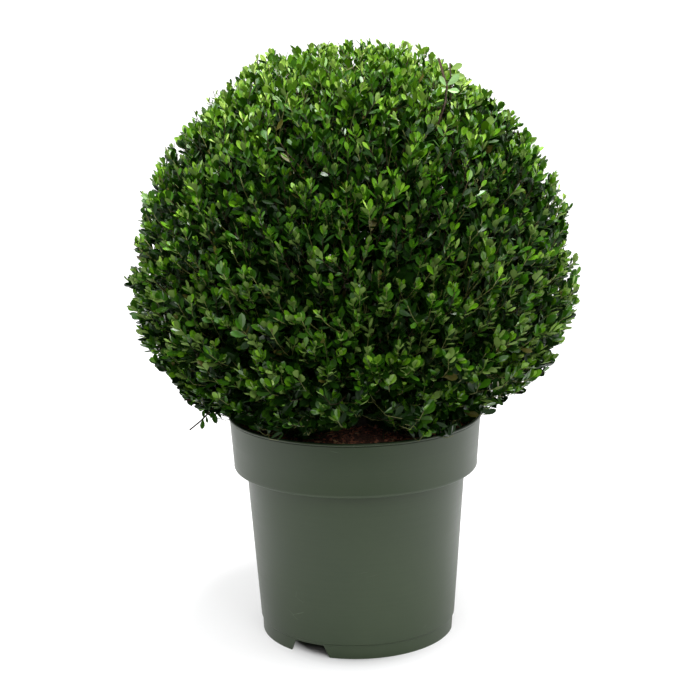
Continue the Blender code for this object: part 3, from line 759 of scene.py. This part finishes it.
def tubes(lines, radii, sides):
    """Points and faces of a thin tapering tube along each line, closed at its tip."""
    count, steps = lines.shape[:2]
    along = tangents_of(lines)
    across = unit(np.cross(along, (0.31, 0.52, 0.79)))
    other = np.cross(along, across)
    angle = np.arange(sides) * math.tau / sides
    ring = np.cos(angle)[:, None] * across[:, :, None] + np.sin(angle)[:, None] * other[:, :, None]
    points = lines[:, :, None] + radii[:, :, None, None] * ring
    index = np.arange(count * steps * sides).reshape(count, steps, sides)
    lower, upper = index[:, :-1], index[:, 1:]
    lower_next, upper_next = np.roll(lower, -1, axis=2), np.roll(upper, -1, axis=2)
    walls = np.concatenate([
        np.stack([lower, lower_next, upper_next], -1).reshape(-1, 3),
        np.stack([lower, upper_next, upper], -1).reshape(-1, 3),
    ])
    tip = index[:, -1]
    caps = [np.stack([tip[:, 0], tip[:, side], tip[:, side + 1]], -1) for side in range(1, sides - 1)]
    return points.reshape(-1, 3), np.concatenate([walls] + caps)


def tapering(lines, thick, thin):
    """A radius for each point of each line, falling evenly from thick to thin."""
    return np.tile(np.linspace(thick, thin, lines.shape[1]), (len(lines), 1))


def joined(parts):
    """Makes one mesh of parts, each with its points, its faces and a material number per face."""
    points, faces, kinds = zip(*parts)
    bases = np.cumsum([0] + [len(part) for part in points])
    faces = [part + base for part, base in zip(faces, bases)]
    return np.concatenate(points), np.concatenate(faces), np.concatenate(kinds)


def clear_of_pot(points):
    """True above the mix inside the mouth, over the rim, and outside the pot's wall."""
    radius = np.hypot(points[..., 0], points[..., 1])
    height = points[..., 2]
    over = height > POT_HEIGHT + CLEAR_OVER_RIM
    over_mix = height > MIX_CENTRE_HEIGHT + CLEAR_OVER_MIX
    inside = (radius < MIX_RADIUS - CLEAR_INSIDE_WALL) & over_mix
    outside = radius > RIM_RADIUS + CLEAR_OUTSIDE_RIM
    return over | inside | outside


def from_line(points, start, end):
    """Distance of each point from the straight line between start and end."""
    line = end - start
    share = np.clip((points - start) @ line / (line @ line), 0, 1)
    return np.linalg.norm(points - start - share[:, None] * line, axis=1)


branch_ways = even_directions(BRANCHES, 0.05)
branch_ways = branch_ways[mass_of(branch_ways) >= 0]
branch_mass = mass_of(branch_ways)
twig_ways = even_directions(TWIGS, 0.020)
twig_ways = twig_ways[mass_of(twig_ways) >= 0]
twig_branch = nearest(twig_ways, branch_ways)
twig_mass = branch_mass[twig_branch]

branch_starts = CROWN_CENTRE + middles[branch_mass] * (reach(middles[branch_mass]) * BOUGH_END)[:, None]
branch_ends = CROWN_CENTRE + branch_ways * (reach(branch_ways) * BRANCH_REACH)[:, None]
branch_lines = curves(branch_starts, middles[branch_mass], branch_ends, branch_ways, BRANCH_STEPS)
branch_radii = tapering(branch_lines, BRANCH_RADIUS, TWIG_RADIUS)

twig_depth = reach(twig_ways) * growth.uniform(TWIG_REACH - 0.03, TWIG_REACH + 0.03, len(twig_ways))
twig_ends = CROWN_CENTRE + twig_ways * twig_depth[:, None]
twig_tip_ways = unit(twig_ways + 0.2 * SKY)
twig_lines = curves(
    branch_ends[twig_branch], branch_ways[twig_branch], twig_ends, twig_tip_ways, TWIG_STEPS
)
twig_radii = tapering(twig_lines, TWIG_RADIUS, 1.5 * SHOOT_RADIUS)


def cleft(ways):
    """How far the shoots stand back between two branches' sprays; less on the sunny top."""
    angles = np.arccos(np.clip(ways @ branch_ways.T, -1, 1))
    closest = np.partition(angles, 1, axis=1)[:, :2]
    edge = np.exp(-((closest[:, 1] - closest[:, 0]) / CLEFT_WIDTH) ** 2)
    return CLEFT_DEPTH * edge * np.interp(ways[:, 2], [-0.6, 0.3, 0.8, 1.0], [1.0, 1.0, 0.45, 0.3])


shoot_ways = np.concatenate([
    even_directions(count, wander)
    for count, wander in ((OUTER_SHOOTS, 0.022), (INNER_SHOOTS, 0.05), (DEEP_SHOOTS, 0.05))
])
total = len(shoot_ways)
rise = shoot_ways[:, 2]
outer = np.arange(total) < OUTER_SHOOTS
deep = np.arange(total) >= OUTER_SHOOTS + INNER_SHOOTS
shoot_depth = np.where(
    outer,
    np.abs(growth.normal(*OUTER_DEPTH, total)) + cleft(shoot_ways),
    growth.uniform(*INNER_DEPTHS, total),
)
shoot_depth = np.where(deep, growth.uniform(*DEEP_DEPTHS, total), shoot_depth)
# a few that grew after the last clipping stand proud of the sides
proud = outer & (growth.random(total) < PROUD_SHARE) & (rise < 0.55)
shoot_depth = np.where(proud, growth.uniform(*PROUD_DEPTHS, total), shoot_depth)
# the shoulder under the top is clipped a little closer
shoot_depth += 0.005 * np.exp(-((rise - 0.72) / 0.16) ** 2)
# soft new shoots, not yet clipped, most of them on the sunny top
young = outer & (growth.random(total) < np.interp(rise, [0.1, 0.9], [0.0, 0.13]))
young |= outer & (shoot_ways @ SOFT_TUFT > math.cos(SOFT_TUFT_SPREAD))
shoot_depth = np.where(young, growth.uniform(*YOUNG_DEPTHS, total), shoot_depth)
in_crown = mass_of(shoot_ways) >= 0
shoot_ways, shoot_depth = shoot_ways[in_crown], shoot_depth[in_crown]
outer, young, deep = outer[in_crown], young[in_crown], deep[in_crown]
shoot_tips = CROWN_CENTRE + shoot_ways * (reach(shoot_ways) - shoot_depth)[:, None]
lift = np.interp(shoot_ways[:, 2], [-0.8, 0, 1], [0.85, 0.90, 0.50])[:, None]
wander = np.interp(shoot_ways[:, 2], [-0.8, 0], [0.30, 0.22])[:, None]
shoot_out = unit(0.60 * shoot_ways + lift * SKY + wander * growth.normal(0, 1, shoot_ways.shape))
# the strays take the place of the spiral's first shoots, which are at the middle of the top
for index, (tip, way) in enumerate(STRAYS):
    shoot_tips[index] = tip
    shoot_out[index] = unit(np.array(way))
    shoot_ways[index] = unit(np.array(tip) - CROWN_CENTRE)
    young[index] = False
footing = unit(shoot_tips - shoot_out * SHOOT_LENGTH - CROWN_CENTRE)
shoot_twig = nearest(footing, twig_ways)
leave_at = growth.integers(3, 7, len(shoot_ways))
shoot_starts = twig_lines[shoot_twig, leave_at]
start_out = unit(tangents_of(twig_lines)[shoot_twig, leave_at] + growth.normal(0, 0.25, shoot_ways.shape))
shoot_lines = curves(shoot_starts, start_out, shoot_tips, shoot_out, SHOOT_STEPS)
shoot_lines[CUT_TWIG, 1:] = CUT_TWIG_POINTS
tip_ways = unit(shoot_tips - CROWN_CENTRE)
tip_angles = np.degrees(angles_of(tip_ways))
missing = np.zeros(len(tip_ways))
for *where, share in THIN_PLACES:
    missing += share * bump(*tip_angles, *where)
pocket_ways = even_directions(POCKETS, 0.16)
to_pocket = np.arccos(np.clip((tip_ways @ pocket_ways.T).max(axis=1), -1, 1))
missing += np.where(deep, 0, POCKET_SHARE) * np.exp(-(to_pocket / POCKET_REACH) ** 2)
in_the_way = from_line(shoot_lines.reshape(-1, 3), WINDOW_NEAR, WINDOW_FAR) < 0.7 * WINDOW_RADIUS
in_the_way = in_the_way.reshape(len(shoot_lines), -1).any(axis=1)
in_the_way &= growth.random(len(shoot_lines)) < WINDOW_SHARE
keep = clear_of_pot(shoot_lines).all(axis=1) & (growth.random(len(tip_ways)) > missing) & ~in_the_way
keep[:len(STRAYS)] = True
shoot_lines, shoot_twig, shoot_ways = shoot_lines[keep], shoot_twig[keep], shoot_ways[keep]
outer, young = outer[keep], young[keep]
shoot_count = len(shoot_lines)
shoot_mass = twig_mass[shoot_twig]
shoot_radii = tapering(shoot_lines, 1.3 * SHOOT_RADIUS, 0.7 * SHOOT_RADIUS)
shoot_radii[:len(STRAYS)] = STRAY_RADIUS
shoot_radii[CUT_TWIG] = CUT_TWIG_RADIUS
brown = growth.random(shoot_count) < np.interp(shoot_ways[:, 2], [0.0, 0.5], [0.20, 0.65])
brown[:len(STRAYS)] = True

old_wood = new_material("twig_old_wood", (0.038, 0.024, 0.013), 0.8, specular_ior_level=0.2)[0]
green_wood = new_material("twig_green_wood", (0.150, 0.160, 0.042), 0.6)[0]
# lines, radii, sides of the tube, the mass that each belongs to, and old wood or green
twig_sets = (
    (branch_lines, branch_radii, 6, branch_mass, 0),
    (twig_lines, twig_radii, 4, twig_mass, 0),
    (shoot_lines[brown], shoot_radii[brown], 3, shoot_mass[brown], 0),
    (shoot_lines[~brown], shoot_radii[~brown], 3, shoot_mass[~brown], 1),
)
for index, mass in enumerate(masses):
    parts = []
    for lines, radii, sides, owner_mass, wood in twig_sets:
        mine = owner_mass == index
        points, faces = tubes(lines[mine], radii[mine], sides)
        parts.append((points, faces, np.full(len(faces), wood)))
    points, faces, kinds = joined(parts)
    piece = mesh_piece(f"twigs_{mass[0]}", points, faces, [old_wood, green_wood], kinds)
    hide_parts(f"foliage_{mass[0]}")
    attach(piece, "root")


# ------------------------ leaves
# Small, blunt, egg-shaped leaves, glossy above and paler below, set in a spiral along the outer end of
# every shoot and closest at its tip. New leaves at the tips are lighter and yellower, most of all on the
# sunny top of the ball, where lighter tints also stand for the light from above as painted light; leaves
# in the shade inside the ball and under it take darker tints as painted shade.
LEAVES_PER_SHOOT = 14
LEAF_LENGTH = 0.0150
LEAF_WIDTH = 0.0072
LEAF_TURN = math.radians(137.5)
SHADE_LEAF_SIZE = 1.30
SOFT_LEAF_LENGTH = 0.85
SOFT_LEAF_WIDTH = 0.62
LEAF_TINTS = {
    "leaf_deep": (0.006, 0.027, 0.0010),
    "leaf_green": (0.028, 0.102, 0.003),
    "leaf_mid": (0.082, 0.208, 0.006),
    "leaf_fresh": (0.180, 0.350, 0.028),
    "leaf_tip": (0.320, 0.490, 0.085),
    "leaf_under": (0.150, 0.245, 0.050),
    "leaf_old": (0.085, 0.080, 0.015),
    "leaf_polished": (0.045, 0.130, 0.009),
    "leaf_pale": (0.250, 0.430, 0.165),
}
# some tints by their place in the table; the first five go from the deepest to the lightest
GREEN, UNDER, OLD, POLISHED, PALE = 1, 5, 6, 7, 8
# share of the low outer leaves given the pale under tint: pale backs and painted highlights
PALE_BACK_AND_HIGHLIGHT_SHARE = 0.035
OLD_SHARE = 0.010
POLISHED_SHARE = 0.09
PLAIN_GLOSS = (0.30, 0.30)
# roughness and specular level of the leaves that differ from the rest
LEAF_GLOSS = {
    "leaf_deep": (0.42, 0.14),
    "leaf_under": (0.60, 0.15),
    "leaf_mid": (0.27, 0.45),
    "leaf_fresh": (0.28, 0.45),
    "leaf_polished": (0.22, 0.75),
}
# the leaves that the strays have kept: stray, leaf, distance from the tip, way it points and size
STRAY_LEAVES = (
    (0, 8, 0.0235, (-0.15, -0.1, -1.0), 0.95),
    (0, 9, 0.024, (0.0, 0.2, 0.9), 0.7),
    (0, 10, 0.029, (0.15, -0.3, -0.9), 0.65),
    (0, 11, 0.04, (0.3, -0.3, -0.95), 1.3),
    (0, 12, 0.0415, (-0.2, -0.2, -0.9), 0.85),
    (1, 3, 0.003, (-0.5, -0.2, 0.6), 0.55),
    (1, 6, 0.01, (-0.1, -0.3, -0.9), 0.6),
    (1, 8, 0.02, (-0.4, -0.2, 0.7), 0.7),
    (1, 10, 0.031, (0.1, -0.2, -1.0), 0.9),
    (2, 9, 0.0385, (0.74, -0.15, 0.68), 1.4),
    (2, 10, 0.0395, (-0.5, -0.1, 0.75), 1.1),
    (2, 11, 0.041, (-0.9, -0.25, -0.25), 1.0),
    (2, 12, 0.044, (0.9, -0.3, -0.1), 1.05),
    (3, 8, 0.008, (0.8, 0.1, 0.35), 1.1),
    (3, 9, 0.015, (0.95, -0.1, -0.1), 1.2),
    (3, 10, 0.019, (0.85, -0.2, -0.45), 1.1),
)
STRAY_TINTS = np.array([GREEN, GREEN, PALE, UNDER])
STRAY_FACE_WAY = (0.15, -0.90, 0.55)
# the gap round the old cut twig: its ends and its radius
CUT_GAP_LOW = np.array([0.109, -0.172, 0.702])
CUT_GAP_HIGH = np.array([0.114, -0.122, 0.765])
CUT_GAP_RADIUS = 0.013
# one half of a leaf: (share of length, share of half width, lift as a share of length)
MIDRIB = ((0.0, 0.0, 0.0), (0.42, 0.0, -0.055), (0.78, 0.0, -0.045), (1.0, 0.0, 0.03))
MARGIN = ((0.15, 0.26, 0.005), (0.40, 0.79, 0.035), (0.65, 1.0, 0.045), (0.87, 0.68, 0.035))

# the halves keep their own midrib corners, so that the fold between them stays crisp
half_leaf = np.array(MIDRIB + MARGIN)
half_faces = np.array([(0, 1, 4), (4, 1, 5), (1, 2, 5), (5, 2, 6), (6, 2, 7), (7, 2, 3)])
leaf_points = np.concatenate([half_leaf, half_leaf * (1, -1, 1)])
leaf_faces = np.concatenate([half_faces[:, ::-1], half_faces + len(half_leaf)])
# in the shade inside the ball a leaf is four faces: each half has one corner at its widest
shade_points = np.array([
    (0.0, 0.0, 0.0), (0.55, 0.0, -0.03), (1.0, 0.0, 0.02), (0.60, 1.05, 0.03), (0.60, -1.05, 0.03),
])
shade_faces = np.array([(0, 1, 3), (1, 2, 3), (0, 4, 1), (1, 4, 2)])[:, ::-1]

tint_materials = []
for name, colour in LEAF_TINTS.items():
    rough, shine = LEAF_GLOSS.get(name, PLAIN_GLOSS)
    tint_materials.append(new_material(name, colour, rough, specular_ior_level=shine)[0])

lengths = np.linalg.norm(np.diff(shoot_lines, axis=1), axis=2)
travelled = np.concatenate([np.zeros((shoot_count, 1)), np.cumsum(lengths, axis=1)], axis=1)
tangents = tangents_of(shoot_lines)
order = np.tile(np.arange(LEAVES_PER_SHOOT), shoot_count)
owner = np.repeat(np.arange(shoot_count), LEAVES_PER_SHOOT)
spacing = growth.uniform(0.85, 1.25, shoot_count)
crowded = np.interp(order, [0, 1, 2, 3, 8, 13], [0, 0.0008, 0.0022, 0.0040, 0.0165, 0.044])
drawn_out = np.interp(order, [0, 13], [0, 0.062])
back_from_tip = np.where(outer[owner], crowded, drawn_out) * spacing[owner]
back_from_tip += growth.uniform(0, 0.0014, len(order))
for stray, leaf, back, way, size in STRAY_LEAVES:
    back_from_tip[(owner == stray) & (order == leaf)] = back
at = travelled[owner, -1] - back_from_tip
on_shoot = at > 0.004
order, owner, at = order[on_shoot], owner[on_shoot], at[on_shoot]
segment = np.clip((travelled[owner] < at[:, None]).sum(axis=1) - 1, 0, SHOOT_STEPS - 2)
share = ((at - travelled[owner, segment]) / lengths[owner, segment])[:, None]
bases = shoot_lines[owner, segment] * (1 - share) + shoot_lines[owner, segment + 1] * share
axis = unit(tangents[owner, segment] * (1 - share) + tangents[owner, segment + 1] * share)
count = len(bases)
in_light = outer[owner]
rise = shoot_ways[owner, 2]

first_turn = growth.uniform(0, math.tau, shoot_count)
turn = first_turn[owner] + order * LEAF_TURN + growth.normal(0, 0.25, count)
side = unit(np.cross(axis, [0.3, 0.5, 0.8]))
out = np.cos(turn)[:, None] * side + np.sin(turn)[:, None] * np.cross(axis, side)
opening = np.radians(np.interp(order, [0, 1, 3, 7, 12], [12, 22, 34, 46, 62]))
opening += growth.normal(0, 0.14, count)
along = np.cos(opening)[:, None] * axis + np.sin(opening)[:, None] * out
along = unit(along + 0.15 * SKY)
face_way = axis + 0.35 * SKY + growth.normal(0, 0.30, (count, 3))
shade_size = np.interp(shoot_ways[:, 2], [-0.75, -0.35, 0.0, 1.0], [1.32, 1.20, 0.94, 0.90])
vigour = (growth.normal(1.0, 0.15, shoot_count) * shade_size)[owner]
grown = np.interp(order, [0, 1, 2, 4], [0.62, 0.80, 0.92, 1.0]) * growth.normal(1.0, 0.13, count) * vigour
grown = np.clip(grown, 0.5, 1.5)
soft = young[owner] & (order < 7)
strayed = owner < len(STRAYS)
kept = ~strayed
for stray, leaf, back, way, size in STRAY_LEAVES:
    mine = (owner == stray) & (order == leaf)
    along[mine] = unit(np.array(way))
    face_way[mine] = STRAY_FACE_WAY
    grown[mine] = size
    kept |= mine
face_way = unit(face_way - along * (face_way * along).sum(axis=1, keepdims=True))
across = np.cross(face_way, along)
leaf_length = LEAF_LENGTH * grown * np.where(soft, SOFT_LEAF_LENGTH, 1.0)
slimness = np.interp(rise, [-0.7, -0.2], [0.84, 1.0])
leaf_width = LEAF_WIDTH * grown * slimness * growth.uniform(0.85, 1.15, count)
leaf_width *= np.where(soft, SOFT_LEAF_WIDTH, 1.0)

tips = bases + along * leaf_length[:, None]
arm = tips - CROWN_CENTRE
proud_of = np.interp(
    unit(arm)[:, 2], [-0.75, -0.55, -0.2, 0.35, 0.65, 0.95], [-0.003, 0.009, 0.014, 0.013, 0.003, 0.008]
)
inside = np.linalg.norm(arm, axis=1) < reach(unit(arm)) + proud_of
middle_of = (tips + bases) / 2
fits = kept & clear_of_pot(tips) & clear_of_pot(bases) & clear_of_pot(middle_of) & (inside | strayed)
window_edge = WINDOW_RADIUS * growth.uniform(0.35, 1.7, count)
fits &= from_line(middle_of, WINDOW_NEAR, WINDOW_FAR) > window_edge
fits &= (from_line(middle_of, CUT_GAP_LOW, CUT_GAP_HIGH) > CUT_GAP_RADIUS) | strayed

# which tint each leaf takes: by its order on the shoot, the spray it is in and the height, with painted
# light on the top and painted shade inside and under the ball
lit = np.clip((rise - 0.05) / 0.85, 0, 1)
spray_age = growth.random(len(twig_ways))[shoot_twig][owner]
# the top of the ball is given lighter tints, partly young growth and partly painted light from above
freshness_and_painted_light = (
    np.interp(order, [0, 1, 2, 4, 10], [0.55, 0.42, 0.28, 0.12, 0.0])
    + 0.37 * lit ** 3.2 + 0.42 * (spray_age - 0.5) + growth.normal(0, 0.11, count)
)
# leaves of the inner and deep shoots take darker tints as painted shade; leaves further back on a shoot
# are older, and darker also as painted shade
freshness_and_painted_light -= np.where(in_light, -0.06, 0.40) + 0.13 * (order > 5)
# leaves under the bottom of the ball take darker tints: painted shade
freshness_and_painted_light -= np.interp(rise, [-0.72, -0.40], [0.38, 0.0])
freshness_and_painted_light[soft] += 0.45
tint = np.digitize(freshness_and_painted_light, [0.12, 0.34, 0.60, 0.82])
seen_from_below = (face_way * shoot_ways[owner]).sum(axis=1) < -0.15
# undersides show the pale under tint only on outer shoots and not too low; the others keep the darker
# tints above as painted shade
lit_back = seen_from_below & in_light & (rise > growth.uniform(-0.5, -0.1, count))
# a few low outer leaves take the pale under tint, partly pale leaf backs and partly painted highlights
pale_back_and_painted_highlight = in_light & (rise < -0.25) & (growth.random(count) < PALE_BACK_AND_HIGHLIGHT_SHARE)
tint[lit_back | pale_back_and_painted_highlight] = UNDER
tint[growth.random(count) < OLD_SHARE] = OLD
tint[(growth.random(count) < POLISHED_SHARE) & in_light & ~seen_from_below] = POLISHED
tint[strayed] = STRAY_TINTS[owner[strayed]]

leaf_mass = shoot_mass[owner]
axes = np.stack([along, across, face_way], axis=1)
cupping = leaf_length * growth.uniform(-0.35, 1.35, count)
sizes = np.stack([leaf_length, leaf_width / 2, cupping], axis=1)
leaf_kinds = (
    (leaf_points, leaf_faces, 1.0, in_light),
    (shade_points, shade_faces, SHADE_LEAF_SIZE, ~in_light),
)
for index, mass in enumerate(masses):
    parts = []
    for template, template_faces, size, chosen in leaf_kinds:
        mine = fits & (leaf_mass == index) & chosen
        points, faces = stamp(template, template_faces, bases[mine], axes[mine], sizes[mine] * size)
        parts.append((points, faces, np.repeat(tint[mine], len(template_faces))))
    points, faces, kinds = joined(parts)
    piece = mesh_piece(f"leaves_{mass[0]}", points, faces, tint_materials, kinds)
    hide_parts(f"foliage_{mass[0]}")
    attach(piece, "root")


# ------------------------ floor, light and camera
# A white studio: a pale floor that glows, its glow falling away round the patch that the pot stands on as
# a painted shadow, soft lights overhead and in front above, bright walls behind and dim ones in front.
# The camera is a little above the plant and sees the mix.
FLOOR_EDGE = -0.75
FLOOR_SIZE = 40
FLOOR_COLOUR = (0.42, 0.42, 0.425)
GLOW_REACH = 4.0
GLOW_SQUEEZE = (1.3, 1.0, 1.0)
# how strongly the floor glows at each distance from the pot: not at all under it and rising round it, a
# painted soft shadow
PAINTED_SHADOW_GLOW_BY_DISTANCE = (
    (0.126, 0.0), (0.142, 0.39), (0.165, 0.56), (0.205, 0.59), (0.30, 0.56), (0.42, 0.72), (4.0, 1.0),
)
start_piece()
bpy.ops.mesh.primitive_plane_add(size=FLOOR_SIZE, location=(0, FLOOR_EDGE + FLOOR_SIZE / 2, 0))
floor = bpy.context.object
bpy.ops.object.transform_apply(location=True)
floor.name = "studio_floor"
floor_paint, floor_shader = new_material("studio_white", FLOOR_COLOUR, 0.9)
floor_shader.inputs["Emission Color"].default_value = (1, 1, 1, 1)
add, join = node_maker(floor_paint)
floor_place = add("ShaderNodeTexCoord")
squeezed = add("ShaderNodeMapping", Scale=GLOW_SQUEEZE)
from_pot = add("ShaderNodeVectorMath", operation="LENGTH")
share_of_reach = add("ShaderNodeMath", operation="DIVIDE")
share_of_reach.inputs[1].default_value = GLOW_REACH
floor_glow_with_painted_shadow = colour_ramp(add, [
    (distance / GLOW_REACH, (strength, strength, strength)) for distance, strength in PAINTED_SHADOW_GLOW_BY_DISTANCE
])
join(floor_place, "Object", squeezed, "Vector")
join(squeezed, "Vector", from_pot, 0)
join(from_pot, "Value", share_of_reach, 0)
join(share_of_reach, "Value", floor_glow_with_painted_shadow, "Fac")
join(floor_glow_with_painted_shadow, "Color", floor_shader, "Emission Strength")
paint(floor, floor_paint)

# the walls' brightness in front and behind, and how far round from the middle each begins
FRONT_WALL = 0.05
BACK_WALL = 1.20
FRONT_WALL_EDGE = -0.32
BACK_WALL_EDGE = 0.45
ROOM_AXIS = (0.16, 1.0, 0.0)
world = bpy.data.worlds.new("studio")
bpy.context.scene.world = world
world.use_nodes = True
add, join = node_maker(world)
room_place = add("ShaderNodeTexCoord")
room_axis = add("ShaderNodeVectorMath", operation="DOT_PRODUCT")
room_axis.inputs[1].default_value = ROOM_AXIS
room_depth = map_range(add, FRONT_WALL_EDGE, BACK_WALL_EDGE, FRONT_WALL, BACK_WALL)
room_path = add("ShaderNodeLightPath")
room_seen = add("ShaderNodeMath", operation="MAXIMUM")
background = world.node_tree.nodes["Background"]
background.inputs["Color"].default_value = (1, 1, 1, 1)
join(room_place, "Generated", room_axis, 0)
join(room_axis, "Value", room_depth, "Value")
join(room_depth, "Result", room_seen, 0)
join(room_path, "Is Camera Ray", room_seen, 1)
join(room_seen, "Value", background, "Strength")

# name, place, what it is turned to, width and power of each light
SOFT_LIGHTS = (
    ("overhead", (0.20, -0.45, 2.9), (0, 0, 0.3), 2.2, 163),
    ("front_above", (0.30, -2.30, 2.05), (0, 0, 0.35), 1.8, 49),
)
for name, place, target, width, power in SOFT_LIGHTS:
    bpy.ops.object.light_add(type="AREA", location=place)
    light = bpy.context.object
    light.name = name
    light.data.shape = "SQUARE"
    light.data.size = width
    light.data.energy = power
    light.rotation_euler = (Vector(target) - Vector(place)).to_track_quat("-Z", "Y").to_euler()

# the camera looks along y, dips by the pitch and leans by the roll, in radians
CAMERA_PLACE = (-0.0053, -2.080, 0.8423)
CAMERA_PITCH = 0.2169
CAMERA_ROLL = 0.0161
CAMERA_SENSOR = 36
CAMERA_LENS = 16 / 7 * CAMERA_SENSOR
bpy.ops.object.camera_add(location=CAMERA_PLACE)
camera = bpy.context.object
camera.name = "camera"
tilt = Matrix.Rotation(math.pi / 2 - CAMERA_PITCH, 4, "X")
roll = Matrix.Rotation(-CAMERA_ROLL, 4, "Z")
camera.matrix_world = Matrix.Translation(camera.location) @ tilt @ roll
camera.data.lens = CAMERA_LENS
camera.data.sensor_width = CAMERA_SENSOR
bpy.context.scene.camera = camera
bpy.context.scene.view_settings.view_transform = "Standard"
